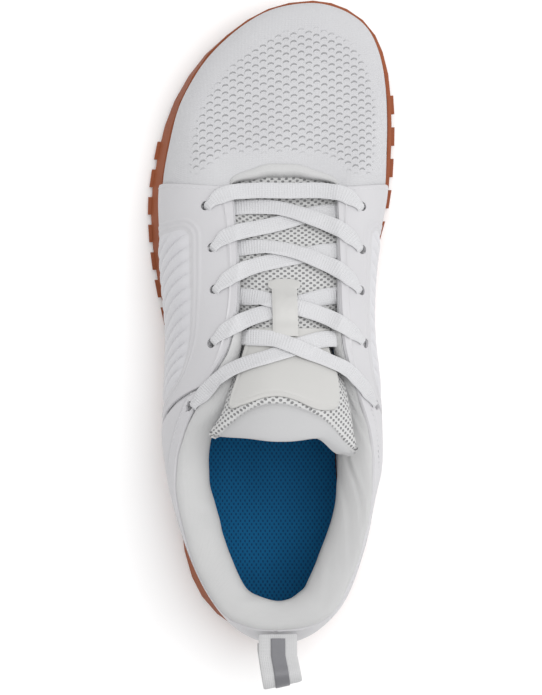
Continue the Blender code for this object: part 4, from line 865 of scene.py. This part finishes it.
def buildCollar():
    corner, front = float(turnOf(throatCorner)), float(turnOf(collarFront))
    reach = round(front * 240) / 240
    tail = round((front + (corner - front) / 8) * 240) / 240
    turns = np.linspace(-tail, tail, collar["turnRows"])
    depth = last["wall"] + last["gap"] * 1.3
    far = np.abs(turns)
    full = np.where(turns > 0, 0.34 + 0.66 * smoothStep(reach * 1.02, reach * 0.66, far),
                    0.46 + 0.54 * smoothStep(reach * 1.04, reach * 0.84, far))
    swell = lambda middle, width, more: more * np.exp(-(((turns - middle) / width) ** 2))
    pad = collar["padding"] * full
    for row in collar["swells"]:
        pad = pad + swell(*row)
    roll = 0.0012 + pad * 0.30 + swell(*collar["lean"])
    one = np.ones_like(turns)
    gap = last["gap"]
    ring = [skinAt(turns, one * v, -depth * one) for v in collar["under"]]
    for out, beyond in ((-depth * one, gap * 1.4 * one), (0.0013 * one, gap * 1.2 * one),
                        (0.0011 * one, roll * 0.40), (-depth * 0.35 * one, roll * 0.84),
                        (-depth - pad * 0.28, roll), (-depth - pad * 0.70, roll * 0.70),
                        (-depth - pad * 0.97, -roll * 0.10)):
        ring.append(skinAt(turns, one, out, beyond))
    for v, share in reversed(list(zip(collar["under"], collar["foam"]))):
        ring.append(skinAt(turns, one * v, -depth - pad * share))
    ring = np.stack(ring, 1)
    inward = np.zeros((1, ring.shape[1], 1))
    inward[0, -len(collar["settled"]):, 0] = collar["settled"]
    for _ in range(collar["smoothing"]):  # lets the foam round the heel without a crease
        ring[1:-1] += ((ring[:-2] + ring[2:]) / 2 - ring[1:-1]) * inward / 2
    for _ in range(collar["rounding"]):  # rounds the section's corners
        after = np.roll(ring, -1, 1)
        ring = np.stack([ring * 0.75 + after * 0.25, ring * 0.25 + after * 0.75], 2).reshape(len(turns), -1, 3)
    around = walked(np.concatenate([ring, ring[:, :1]], 1), 1)[:, :-1]
    alongRow = walked(ring, 0)
    out = unit(np.cross(np.gradient(ring, axis=0), np.roll(ring, -1, 1) - np.roll(ring, 1, 1)))
    if ((ring - ring.mean(1, keepdims=True)) * out).sum() < 0:
        out = -out
    pucker = softNoise(alongRow, around * 0.4, 11, 0.007) * collar["pucker"]
    ring = ring + out * (pucker - 0.0001)[..., None]
    spot = np.arange(ring[..., 0].size).reshape(ring.shape[:2])
    after = np.roll(spot, -1, 1)
    faces = np.stack([spot[:-1], after[:-1], after[1:], spot[1:]], -1).reshape(-1, 4).tolist()
    faces += [spot[0, ::-1].tolist(), spot[-1].tolist()]
    uv = np.stack([alongRow, around], -1).reshape(-1, 2)
    piece = makeMesh("collarLining", ring.reshape(-1, 3), faces, uv)
    shape = bmesh.new()
    shape.from_mesh(piece.data)
    bmesh.ops.recalc_face_normals(shape, faces=shape.faces)
    shape.to_mesh(piece.data)
    shape.free()
    settle(piece, "lining", "lining", "collar_lining")


buildCollar()
print("collar done")

# Tongue
tongue = {
    "thick": 0.0040,
    "tuckDepth": 0.0036,
    "cornerSweep": 0.0075,
    # the arched seam behind which the mesh gives way to the padded lip, in millimetres
    "seam": ((-29.0, 88.5), (-21.3, 96.7), (-15.2, 102.0), (-7.1, 105.5), (0.1, 106.0), (8.2, 104.1),
             (16.4, 100.4), (22.1, 95.9), (28.0, 88.5), (32.5, 82.5)),
    "flap": ((0.0011, 0.0025), (0.0024, 0.0060), (0.0037, 0.0100)),
    "corner": 0.0050,
    "edgeDrop": 0.0012,
    "puff": 0.0011,
    "groove": 0.0007,
    "rows": 170,
}

# along, swell, medial, lateral, tuck
tongueRows = (
    (0.752, 0.000, 0.150, 0.085, 0.0),
    (0.712, 0.004, 0.240, 0.170, 0.0),
    (0.660, 0.018, 0.300, 0.225, 0.0),
    (0.600, 0.022, 0.300, 0.218, 0.0),
    (0.545, 0.022, 0.290, 0.210, 0.2),
    (0.500, 0.046, 0.244, 0.164, 1.0),
    (0.458, 0.034, 0.196, 0.136, 0.8),
)
# along, height, medial, lateral, droop
tongueTip = (
    (0.430, 1.130, 0.222, 0.158, 0.070),
    (0.400, 1.215, 0.250, 0.184, 0.090),
    (0.368, 1.290, 0.280, 0.218, 0.105),
    (0.324, 1.352, 0.306, 0.285, 0.130),
)


def treeOf(grids):
    points, faces = [], []
    for grid in grids:
        spot = np.arange(grid[..., 0].size).reshape(grid.shape[:2]) + len(points)
        faces += gridFaces(spot).reshape(-1, 4).tolist()
        points += [Vector(p) for p in grid.reshape(-1, 3).tolist()]
    return BVHTree.FromPolygons(points, faces)


def heightOver(tree, x, y):
    hit = tree.ray_cast(Vector((x, y, 0.25)), Vector((0, 0, -1)))
    if hit[0] is None:
        hit = tree.find_nearest(Vector((x, y, last["instep"])))
    return hit[0].z


def roofTree(out):
    corner, front = float(turnOf(throatCorner)), float(turnOf(collarFront))
    t, v = np.meshgrid(np.linspace(0, 2, 161), np.linspace(0.45, 1, 23), indexing="ij")
    walls = skinAt(t, v, out * np.ones_like(t))
    turns = np.concatenate([np.linspace(front * 0.93, corner, 25), np.linspace(corner, 1, 12)[1:]])
    ends = []
    for side in (turns, 2 - turns):
        here, normal, up = skinFrame(side, np.ones_like(side))
        ends.append((here + normal * out, up))
    span = np.linalg.norm(ends[0][0] - ends[1][0], axis=1)[:, None] * 0.36
    bridge = [bezier(ends[0][0], ends[0][0] + ends[0][1] * span, ends[1][0] + ends[1][1] * span, ends[1][0], s)
              for s in np.linspace(0, 1, 17)]
    return treeOf([walls, np.stack(bridge, 1)])


def byPlace(rows, number, along):
    ordered = sorted(rows)
    return float(curveThrough([r[0] for r in ordered], [r[number] for r in ordered], along))


def tongueGrid():
    inner = last["wall"] + last["gap"] * 2
    roof, lowRoof = roofTree(-inner), roofTree(-(inner + tongue["tuckDepth"]))
    shares = np.linspace(-1, 1, 41)
    wide, length = last["ballWidth"], last["length"]
    lines = []
    places = [r[1] for r in edgeRows]
    for along in np.linspace(tongueRows[0][0], tongueRows[-1][0], 31):
        swell, medial, lateral, tuck = (byPlace(tongueRows, k, along) for k in (1, 2, 3, 4))
        ring = []
        for share in shares:
            x = share * (medial if share > 0 else lateral) * wide
            values = [r[2 if share > 0 else 3] for r in edgeRows]
            room = 0.0 if along >= places[-1] else float(np.interp(along, places, values)) * wide - 0.001
            lift = swell * wide * max(0.0, 1 - (abs(x) / room) ** 2) if room > 0 else 0.0
            level = heightOver(roof, x, along * length)
            level += (heightOver(lowRoof, x, along * length) - level) * tuck
            ring.append((x, along * length, level - last["gap"] + lift))
        lines.append(ring)
    for number, (along, height, medial, lateral, droop) in enumerate(tongueTip):
        x = shares * np.where(shares > 0, medial, lateral) * wide
        fall = np.abs(shares) ** 2.2 * droop * wide
        sweep = smoothStep(0.017, 0.030, x) * tongue["cornerSweep"] * (0.0, 0.15, 0.5, 1.0)[number]
        z = height * last["instep"] - fall - sweep * 0.45
        lines.append(np.stack([x, along * length - sweep, z], 1).tolist())
    return np.array(lines)


def finerRows(grid, count):
    return resampled(grid.reshape(len(grid), -1), count, travelled(grid.mean(1)))[0].reshape(count, -1, 3)


def buildTongue():
    surface = finerRows(tongueGrid(), tongue["rows"])
    across = np.linspace(-1, 1, surface.shape[1])[None, :]
    toEnd = walked(surface[::-1], 0)[::-1]
    inward = tongue["corner"] * (1 - roundedEdge(toEnd, tongue["corner"]))
    surface[..., 0] *= 1 - inward / np.abs(surface[:, -1:, 0] - surface[:, :1, 0]) * 2
    # soft sides that turn down inside the collar
    along = surface[:, :1, 1] / last["length"]
    soft = smoothStep(0.545, 0.50, along) * smoothStep(0.335, 0.44, along)
    stiff = (1 - soft)[:, None]
    wide = [surface]
    for reach, fall in tongue["flap"]:
        offset = np.concatenate([-reach * soft, soft * 0, -fall * soft], 1)[:, None]
        wide.insert(0, surface[:, :1] + offset * 0.6 - np.array([0.0004, 0, 0.0002]) * stiff)
        wide.append(surface[:, -1:] + offset * np.array([-1, 1, 1]) + np.array([0.0004, 0, -0.0002]) * stiff)
    full = np.concatenate(wide, 1)
    count = len(tongue["flap"])
    spread = lambda grid: np.concatenate([grid[:, :1]] * count + [grid] + [grid[:, -1:]] * count, 1)
    edge = np.sqrt(np.clip(1 - np.abs(across) ** 8, 0, 1))
    end = roundedEdge(toEnd, 0.0035)
    seam = np.array(tongue["seam"]) / 1000
    past = curveThrough(seam[:, 0], seam[:, 1], full[..., 0]) - full[..., 1]
    lip = smoothStep(-0.0003, 0.0003, past)
    puff = smoothStep(0.0, 0.004, past) * spread(smoothStep(0.0, 0.006, toEnd)) * spread(edge + 0 * toEnd)
    normal = gridNormals(full)
    low = (1 - spread(edge * end)) * tongue["edgeDrop"] + bead(past, 0.0, 0.0012) * tongue["groove"]
    top = full - normal * low[..., None]
    top = top + normal * (puff * tongue["puff"])[..., None]
    thick = spread(tongue["thick"] * (0.35 + 0.65 * edge) * (0.45 + 0.55 * end))
    thick = thick * smoothStep(-0.002, 0.012, walked(full, 0))
    bottom = full - normal * thick[..., None]
    x = walked(full, 1)
    uv = np.stack([x - x[:, full.shape[1] // 2][:, None], -walked(full, 0)], -1)
    piece = shellMesh("tongueCloth", top, bottom, uv, masks={"lip": lip})
    settle(piece, "tongue_mesh", "tongue", "tongue")
    return surface


tongueTop = buildTongue()
print("tongue done")

# Label on the tongue, its word place left bare
label = {
    "rows": ((0.484, 0.200, 0.108), (0.462, 0.190, 0.124), (0.440, 0.205, 0.140), (0.415, 0.222, 0.157),
             (0.385, 0.224, 0.182), (0.360, 0.222, 0.196)),
    "front": 0.1355,
    # its arched rear edge: across and along, in millimetres
    "rear": ((-21.0, 104.4), (-20.0, 103.2), (-15.2, 104.1), (-7.1, 107.2), (-0.3, 107.8), (6.2, 106.1),
             (12.3, 103.2), (16.5, 102.0), (20.1, 102.6), (22.6, 104.3), (23.8, 107.0)),
    "thick": 0.0009,
    "groove": (0.0021, 0.0005, 0.00022),     # from the edge, half width, depth
}


def onGrid(grid, alongs, across):
    levels = grid[:, :, 1].mean(1)
    row = np.interp(-alongs, -levels, range(len(levels)))
    k = np.clip(row.astype(int), 0, len(levels) - 2)
    out = np.zeros((*row.shape, 3))
    for index in np.ndindex(row.shape):
        line = grid[k[index]] * (1 - row[index] + k[index]) + grid[k[index] + 1] * (row[index] - k[index])
        out[index] = readAt(across[index], line[:, 0], line)
    return out


def buildLabel():
    rows, columns = 50, 71
    s = np.linspace(-1, 1, columns)
    wide = np.vectorize(lambda y, k: byPlace(label["rows"], k, y / last["length"]))
    halfAt = lambda y: np.where(s > 0, wide(y, 1), wide(y, 2)) * last["ballWidth"]
    rear = np.array(label["rear"]) / 1000
    rearY = curveThrough(rear[:, 0], rear[:, 1], s * halfAt(np.full(columns, 0.105)))
    y = label["front"] + (rearY - label["front"]) * np.linspace(0, 1, rows)[:, None]
    low = onGrid(tongueTop, y, s * halfAt(y))
    normal = gridNormals(low)
    low = low + normal * 0.0003
    px, py = walked(low, 1), walked(low, 0)
    edge = np.minimum(np.minimum(px, px[:, -1:] - px), py[-1:] - py)
    height = label["thick"] * (0.35 + 0.65 * roundedEdge(edge, 0.0008))
    groove, half, deep = label["groove"]
    height -= deep * bead(edge, groove, half)
    top = low + normal * (height + 0.0003)[..., None]
    settle(shellMesh("tongueLabelPatch", top, low, np.stack([px, py], -1)), "label", "label", "tongue_label")
    return top


labelTop = buildLabel()

# Laces
lace = {
    "width": 0.0071,
    "thick": 0.0011,
    "ribPitch": 0.00118,
    "ribHeight": 0.00013,
    "atHole": 0.58,      # share of the width left where it enters a hole
    "pinch": 0.0065,     # over this length
    "lift": 0.0003,
    "lanes": 7,
    "columns": 15,
    # how an end goes down: away and down at five places, and the lengths that these are shares of
    "dives": {
        "hole": (((0.28, 0.12), (0.52, 0.42), (0.68, 0.85), (0.76, 1.35), (0.80, 1.9)), 0.0021, 0.0024),
        "edge": (((0.3, 0.10), (0.6, 0.3), (0.9, 0.55), (1.2, 0.8), (1.5, 1.0)), 0.0040, 0.0020),
    },
    # routes seen from above, in millimetres across and along, each from its start to its hole
    "bar": ((-28.5, 188.3), (-25.6, 190.9), (-20.4, 193.3), (-11.8, 194.4), (5.3, 194.5), (22.4, 194.3),
            (28.6, 193.0), (32.9, 190.2), (35.4, 188.0)),
    "over": (
        ((-16.2, 187.4), (-10.0, 187.6), (-2.8, 187.4), (4.8, 186.1), (12.6, 183.7), (20.6, 180.7), (26.8, 177.8),
         (31.5, 173.8), (34.6, 170.2)),
        ((-14.9, 169.8), (-8.9, 170.2), (-3.5, 170.0), (4.0, 168.9), (11.4, 166.8), (17.9, 164.1), (26.3, 160.0),
         (30.8, 155.9), (33.8, 152.3)),
        ((-15.0, 149.4), (-9.2, 148.7), (-2.3, 147.3), (3.8, 145.8), (10.1, 144.0), (16.5, 142.0), (23.0, 139.3),
         (28.8, 135.8), (35.0, 130.8)),
        ((-14.0, 132.2), (-7.7, 132.0), (-2.5, 131.4), (4.0, 129.3), (11.7, 126.2), (19.4, 122.9), (27.0, 119.3),
         (34.3, 113.2), (41.0, 104.2)),
    ),
    "under": (
        ((24.2, 185.8), (20.0, 185.4), (12.6, 183.9), (4.8, 181.5), (-2.4, 179.5), (-8.7, 178.2), (-16.4, 176.5),
         (-22.3, 174.0), (-26.2, 170.4)),
        ((24.2, 168.7), (19.3, 168.3), (12.0, 166.8), (6.1, 165.6), (0.2, 164.4), (-8.9, 162.2), (-15.4, 159.9),
         (-21.2, 156.2), (-25.3, 152.4)),
        ((24.2, 149.8), (19.6, 149.2), (12.0, 147.2), (4.0, 144.9), (-2.7, 143.0), (-9.8, 140.9), (-16.8, 138.0),
         (-21.8, 134.9), (-26.3, 131.0)),
        ((23.4, 131.7), (20.0, 131.6), (12.0, 129.8), (3.6, 126.9), (-4.8, 124.0), (-14.1, 121.2), (-21.0, 118.0),
         (-27.9, 112.0), (-34.9, 104.2)),
    ),
}


def groundGrids():
    t, v = np.meshgrid(np.linspace(0, 2, 321), np.linspace(0.35, 1, 50), indexing="ij")
    return [skinAt(t, v, (last["overlay"] + last["panelGap"]) * np.ones_like(t)), tongueTop, labelTop]


def taut(reach, heights):  # a line pulled tight over the heights
    hull = []
    for point in zip(reach, heights):
        while len(hull) > 1:
            (x0, z0), (x1, z1) = hull[-2], hull[-1]
            if (x1 - x0) * (point[1] - z0) - (z1 - z0) * (point[0] - x0) < 0:
                break
            hull.pop()
        hull.append(point)
    return np.interp(reach, [p[0] for p in hull], [p[1] for p in hull])


def laceLanes(tree, route, width, count=100, pinched=(False, True)):
    line, reach = resampled(np.array(route) / 1000, count)
    ahead = unit(np.gradient(line, axis=0))
    across = np.stack([-ahead[:, 1], ahead[:, 0]], 1)
    share = np.ones(count)
    for near, pinch in ((reach, pinched[0]), (reach[-1] - reach, pinched[1])):
        if pinch:
            share = share * (lace["atHole"] + (1 - lace["atHole"]) * smoothStep(0, lace["pinch"], near))
    lanes = []
    for offset in np.linspace(-0.5, 0.5, lace["lanes"]):
        flat = line + across * (offset * width * share)[:, None]
        spread = np.array([heightOver(tree, *p) for p in flat])
        lanes.append(np.column_stack([flat, 0.35 * spread + 0.65 * taut(reach, spread) + lace["lift"]]))
    lanes = np.array(lanes)
    z = lanes[:, :, 2]
    ground = z.copy()
    steep = width / (lace["lanes"] - 1) * 0.75
    for _ in range(6):  # the band bends little across its width
        z[1:-1] = np.maximum(z[1:-1], (z[:-2] + z[2:]) / 2)
        z[:-1] = np.maximum(z[:-1], z[1:] - steep)
        z[1:] = np.maximum(z[1:], z[:-1] - steep)
    for _ in range(30):  # and has no sharp bends along it
        z[:, 1:-1] = np.maximum((z[:, :-2] + z[:, 2:]) / 2, ground[:, 1:-1])
    return lanes.transpose(1, 0, 2), share


def fineBand(lanes, dives, half):  # its middle, side direction, half width, bend and normal at each station
    middle = lanes.mean(1)
    side = unit(lanes[:, -1] - lanes[:, 0])
    ahead = unit(np.gradient(middle, axis=0))
    normal = unit(np.cross(ahead, side))
    normal = np.where(normal[:, 2:] < 0, -normal, normal)
    offset = lanes - middle[:, None]
    bend = offset - side[:, None] * np.einsum("ijk,ik->ij", offset, side)[..., None]
    for atEnd, kind, into in dives:  # the ends turn down
        path, reach, sink = lace["dives"][kind]
        at = -1 if atEnd else 0
        away = ahead[-1] if atEnd else -ahead[0]
        made = []
        for k, (f, d) in enumerate(path, 1):
            share = k / len(path)
            turned = unit(normal[at] * (1 - share * 0.8) + away * share * 0.9) if kind == "hole" else normal[at]
            spot = middle[at] + away * f * reach - into * d * sink
            made.append((spot, side[at], half[at], bend[at] * (1 - share), turned))
        longer = []
        for old, new in zip((middle, side, half, bend, normal), zip(*(made if atEnd else made[::-1]))):
            longer.append(np.concatenate([old, np.array(new)] if atEnd else [np.array(new), old]))
        middle, side, half, bend, normal = longer
        ahead = unit(np.gradient(middle, axis=0))
    return middle, side, half, bend, normal


def bandMesh(name, lanes, half, dives, thick, ribPitch, ribHeight, finish, slotName, *nodes):
    middle, side, half, bend, normal = fineBand(lanes, dives, half)
    gone = travelled(middle)
    count = max(int(gone[-1] / (ribPitch / 4)), 40) if ribPitch else max(int(gone[-1] / 0.0006), 30)
    where = np.linspace(0, gone[-1], count)
    again = lambda grid: readAt(where, gone, grid)
    bend = again(bend.reshape(len(bend), -1)).reshape(count, -1, 3)
    middle, side, normal = again(middle), unit(again(side)), unit(again(normal))
    s = np.linspace(-1, 1, lace["columns"])
    x = s * np.interp(where, gone, half)[:, None]
    bend = np.stack([readAt(s, np.linspace(-1, 1, bend.shape[1]), row) for row in bend])
    base = middle[:, None] + side[:, None] * x[..., None] + bend
    profile = np.clip(1 - np.abs(s) ** 6, 0, 1) ** 0.5
    rib = ribHeight * np.sin(where / ribPitch * 2 * math.pi)[:, None] * profile if ribPitch else 0.0
    top = base + normal[:, None] * (thick * (0.5 + 0.5 * profile) + rib)[..., None]
    bottom = base + normal[:, None] * (thick * (0.5 - 0.5 * profile))[..., None]
    uv = np.stack([x, np.broadcast_to(where[:, None], x.shape)], -1)
    settle(shellMesh(name, top, bottom, uv, sharp=60), slotName, finish, *nodes)
    return top


def buildLaces():
    grids = groundGrids()
    into = lambda row, lateral: (True, "hole", spots[2 * row + lateral][1])
    down = (False, "edge", np.array([0, 0, 1.0]))

    def run(name, route, dives, over=(), nodes=(), pinched=(False, True)):
        lanes, share = laceLanes(treeOf(grids + list(over)), route, lace["width"], pinched=pinched)
        return bandMesh(name, lanes, lace["width"] / 2 * share, dives, lace["thick"], lace["ribPitch"],
                        lace["ribHeight"], "lace", "lace", *nodes)

    ends = [into(0, 0), (False, *into(0, 1)[1:])]
    run("laceBar", lace["bar"], ends, (), ["lace_bar"], (True, True))
    tops = []
    for row in range(4):
        number = str(row + 1)
        below = run("laceUnder" + number, lace["under"][row], [into(row + 1, 1), down])
        ends = [into(row + 1, 0), down]
        above = run("laceOver" + number, lace["over"][row], ends, [below], ["lace_crossing_" + number])
        tops += [below, above]
    return tops


laceTops = buildLaces()
print("laces done")

# Keeper strap, wider at its front end
keeper = {
    "route": ((2.6, 156.2), (2.6, 149.0), (2.7, 141.0), (2.7, 132.5)),
    "width": 0.0105,
    "tab": 0.0134,
    "tabLength": 0.0040,
    "corner": 0.0012,
    "thick": 0.0010,
}


def buildKeeper():
    tree = treeOf(groundGrids() + laceTops[4:6])
    lanes, _ = laceLanes(tree, keeper["route"], keeper["width"], 70, (False, False))
    gone = travelled(lanes.mean(1))
    wider = keeper["tab"] / keeper["width"] - 1
    share = 1 + wider * smoothStep(keeper["tabLength"] + 0.0008, keeper["tabLength"], gone)
    share *= 1 - np.clip(1 - gone / keeper["corner"], 0, 1) ** 2 * 0.35
    half = keeper["width"] / 2 * share
    bandMesh("laceKeeper", lanes, half, [], keeper["thick"], 0, 0, "label", "label", "tongue_keeper")


buildKeeper()

# Pull loop and its stripe
loop = {
    "width": 0.016,
    "thick": 0.0016,
    "reach": 0.013,
    "stripe": 0.006,
    "ends": (0.93, 0.62),
    "lean": 0.0022,
    "twist": 0.22,
    "rows": 120,
    "columns": 21,
    "path": ((0.30, 0.990), (0.62, 1.010), (0.86, 0.985), (1.00, 0.910), (0.97, 0.830), (0.80, 0.765),
             (0.50, 0.715)),
}


def buildLoop():
    off = last["overlay"] + last["panelGap"] + last["gap"] + loop["thick"] * 0.6
    ends = [skinAt(0.0, v, off)[1:] for v in loop["ends"]]
    path = [ends[0], *[(-b * loop["reach"], h * last["heel"]) for b, h in loop["path"]], ends[1]]
    line, where = resampled(np.array(path), loop["rows"])
    ahead = unit(np.gradient(line, axis=0))
    out = np.stack([ahead[:, 1], -ahead[:, 0]], 1)
    if ((line - line.mean(0)) * out).sum() < 0:
        out = -out
    lean = loop["lean"] * np.maximum(0.0, -line[:, 0]) / loop["reach"]

    def tape(name, width, low, high, trim, slotName, finish, node):
        part = slice(trim, len(line) - trim)
        y, z = line[part, :1], line[part, 1:]
        s = np.linspace(-1, 1, loop["columns"])
        x = lean[part, None] + s * width / 2
        twist = loop["twist"] * x * np.clip(-y / loop["reach"], 0, 1)
        bulge = 0.45 + 0.55 * np.clip(1 - np.abs(s) ** 10, 0, 1) ** 0.5
        sheets = []
        for sign in (1, -1):
            lift = (low + high) / 2 + sign * (high - low) / 2 * bulge
            sheets.append(np.stack([x, y + out[part, :1] * lift + twist, z + out[part, 1:] * lift], -1))
        uv = np.stack(np.broadcast_arrays(s * width / 2, where[part, None]), -1)
        settle(shellMesh(name, *sheets, uv, sharp=50), slotName, finish, node)

    top = loop["thick"] / 2
    tape("pullLoop", loop["width"], -top, top, 0, "webbing", "tape", "pull_loop")
    tape("loopStripe", loop["stripe"], top - 0.0001, top + 0.0005, 4, "reflector", "stripe", "loop_stripe")


buildLoop()
print("loop done")

# Insole
insole = {"thick": 0.0032, "dish": 0.0010, "dishEdge": (0.002, 0.025), "edge": 0.0022, "rows": 170, "columns": 60}


def buildInsole():
    share = np.linspace(0, 1, insole["rows"])
    medial, lateral = (lowerLine(turn, last["wall"] + 2 * last["gap"])[0] for turn in (share, 2 - share))
    flat = lateral[:, None] + (medial - lateral)[:, None] * np.linspace(0, 1, insole["columns"])[None, :, None]
    x, y = np.linalg.norm(flat - flat[:, :1], axis=2), flat[..., 1]
    edge = np.minimum(x, np.maximum(x[:, -1:], 1e-6) - x)
    edge = np.minimum(edge, np.minimum(y - y.min(), y.max() - y) + 0.0005)
    rise = insole["thick"] * (0.80 + 0.20 * roundedEdge(edge, insole["edge"]))
    rise = rise - insole["dish"] * smoothStep(*insole["dishEdge"], edge)
    floor = cupFloor((1 - np.cos(share * math.pi)) / 2)[:, None] + last["gap"]
    top, low = (np.concatenate([flat, (floor + up)[..., None]], -1) for up in (rise, rise * 0))
    settle(shellMesh("insoleSheet", top, low, flat), "insole_cloth", "insole", "insole")


buildInsole()
print("insole done")

# Outsole: the moulded solid with its edges eased
outsole = {"ease": 0.00035, "angle": 28, "sharp": 40}


def buildOutsole():
    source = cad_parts["outsole"]
    source = source if isinstance(source, bpy.types.Object) else bpy.data.objects[source]
    shape = bmesh.new()
    shape.from_mesh(source.data)
    bmesh.ops.remove_doubles(shape, verts=shape.verts, dist=1e-6)
    bmesh.ops.dissolve_limit(shape, angle_limit=math.radians(1.0), verts=shape.verts, edges=shape.edges)
    mesh = bpy.data.meshes.new("outsoleMoulding")
    shape.to_mesh(mesh)
    shape.free()
    piece = addObject("outsoleMoulding", mesh)
    ease = piece.modifiers.new("ease", "BEVEL")
    ease.width = outsole["ease"]
    ease.segments = 2
    ease.limit_method = "ANGLE"
    ease.angle_limit = math.radians(outsole["angle"])
    ease.use_clamp_overlap = True
    bpy.context.view_layer.update()
    eased = bpy.data.meshes.new_from_object(piece.evaluated_get(bpy.context.evaluated_depsgraph_get()))
    piece.modifiers.clear()
    piece.data = eased
    eased.shade_smooth()
    eased.set_sharp_from_angle(angle=math.radians(outsole["sharp"]))
    settle(piece, "gum_rubber", "gum", "outsole")


buildOutsole()
print("outsole done")

# Stitches
stitch = {
    "length": 0.0018,
    "gap": 0.0006,
    "radius": 0.00016,
    # width and lift at five places along a stitch, as shares of the radius
    "shape": ((0.35, -0.6), (0.95, 0.3), (1.0, 0.6), (0.95, 0.3), (0.35, -0.6)),
    "frontInset": 0.0018,
    "bandInset": 0.0012,
}


def stitchesAlong(lines):  # small rounded stitches, laid on lines of points and normals
    points, faces = [], []
    for line, normals in lines:
        gone = travelled(line)
        step = stitch["length"] + stitch["gap"]
        for k in range(int(gone[-1] / step)):
            where = np.linspace(0, stitch["length"], 5) + k * step
            spots, ups = readAt(where, gone, line), unit(readAt(where, gone, normals))
            ahead = unit(spots[-1] - spots[0])
            base = len(points)
            for spot, normal, (wide, high) in zip(spots, ups, stitch["shape"]):
                across = unit(np.cross(ahead, normal))
                size, lift = stitch["radius"] * wide, stitch["radius"] * high
                for angle in np.arange(6) * math.pi / 3:
                    out = normal * (math.sin(angle) * size + lift)
                    points.append(spot + across * math.cos(angle) * size * 1.2 + out)
            for n in range(4):
                for m in range(6):
                    a, b = base + n * 6 + m, base + n * 6 + (m + 1) % 6
                    faces.append([a, b, b + 6, a + 6])
            faces += [[base + m for m in range(5, -1, -1)], [base + 24 + m for m in range(6)]]
    return points, faces


def buildStitches():
    lines = []
    seat = last["panelGap"] + last["overlay"]
    for here, normal, x in (medialSide, lateralSide):  # up the quarters' front edges
        columns = range(0, x.shape[1], 2)
        front = np.array([readAt(x[-1, j] - stitch["frontInset"], x[:, j], here[:, j]) for j in columns])
        lines.append((front + normal[-3, ::2] * seat, normal[-3, ::2]))
    here, normal, down = heelSide  # and round the heel, under the collar's band
    line, normals = [], []
    for i in range(0, len(here), 2):
        at = float(np.interp(-(panels["collarBand"] - stitch["bandInset"]), -down[i], range(down.shape[1])))
        k = int(np.clip(at, 0, down.shape[1] - 2))
        line.append(here[i, k] * (1 - (at - k)) + here[i, k + 1] * (at - k))
        normals.append(normal[i, k])
    normals = np.array(normals)
    lines.append((np.array(line) + normals * (seat + 0.00035), normals))
    points, faces = stitchesAlong(lines)
    piece = makeMesh("stitching", points, faces, np.array(points)[:, :2], sharp=60)
    settle(piece, "lace", "thread")


buildStitches()
print("stitches done")

# Floor, light, camera
studio = {
    "floor": 1.6,
    "floorColour": (0.97, 0.97, 0.97),
    "world": 0.76,
    "lights": {"topLight": ((0.15, 0.25, 1.1), 0.9, 6.6), "sideLight": ((0.8, 0.1, 0.7), 0.7, 1.8)},
    "lit": (0, 0.08, 0.03),
    "cameraTilt": 2.5,
    "cameraAway": 0.900,
    "lens": 2.225 * 900 / 542 * 36,
    "target": (0.0, 0.1281),
}


def buildStudio():
    scene = bpy.context.scene
    mesh = bpy.data.meshes.new("studioFloor")
    half = studio["floor"] / 2
    corners = [(-half, -half, 0), (half, -half, 0), (half, half, 0), (-half, half, 0)]
    mesh.from_pydata(corners, [], [(0, 1, 2, 3)])
    floor = addObject("studioFloor", mesh)
    f = Finish("studioPaper", 0.9)
    mesh.materials.append(f.done(f.tint(studio["floorColour"], studio["floorColour"])))

    world = scene.world or bpy.data.worlds.new("studioWorld")
    scene.world = world
    world.use_nodes = True
    back = world.node_tree.nodes["Background"]
    back.inputs[0].default_value = (1.0, 1.0, 1.0, 1)
    back.inputs[1].default_value = studio["world"]

    for name, (spot, size, power) in studio["lights"].items():
        light = bpy.data.lights.new(name, "AREA")
        light.shape = "DISK"
        light.size = size
        light.energy = power
        lamp = addObject(name, light)
        lamp.location = spot
        lamp.rotation_euler = (Vector(studio["lit"]) - Vector(spot)).to_track_quat("-Z", "Y").to_euler()

    camera = bpy.data.cameras.new("photoCamera")
    camera.sensor_fit = "HORIZONTAL"
    camera.sensor_width = 36
    camera.lens = studio["lens"]
    camera.clip_start = 0.05
    eye = addObject("photoCamera", camera)
    tilt = math.radians(studio["cameraTilt"])
    target = Vector((studio["target"][0], studio["target"][1] - last["originY"], 0))
    eye.location = target + Vector((-math.sin(tilt), 0, math.cos(tilt))) * studio["cameraAway"]
    eye.rotation_euler = (0, -tilt, 0)
    scene.camera = eye
    view = scene.view_settings
    view.view_transform = "Standard"
    view.look = "None"
    view.exposure = 0.0
    view.gamma = 1.0


buildStudio()
print("studio done")
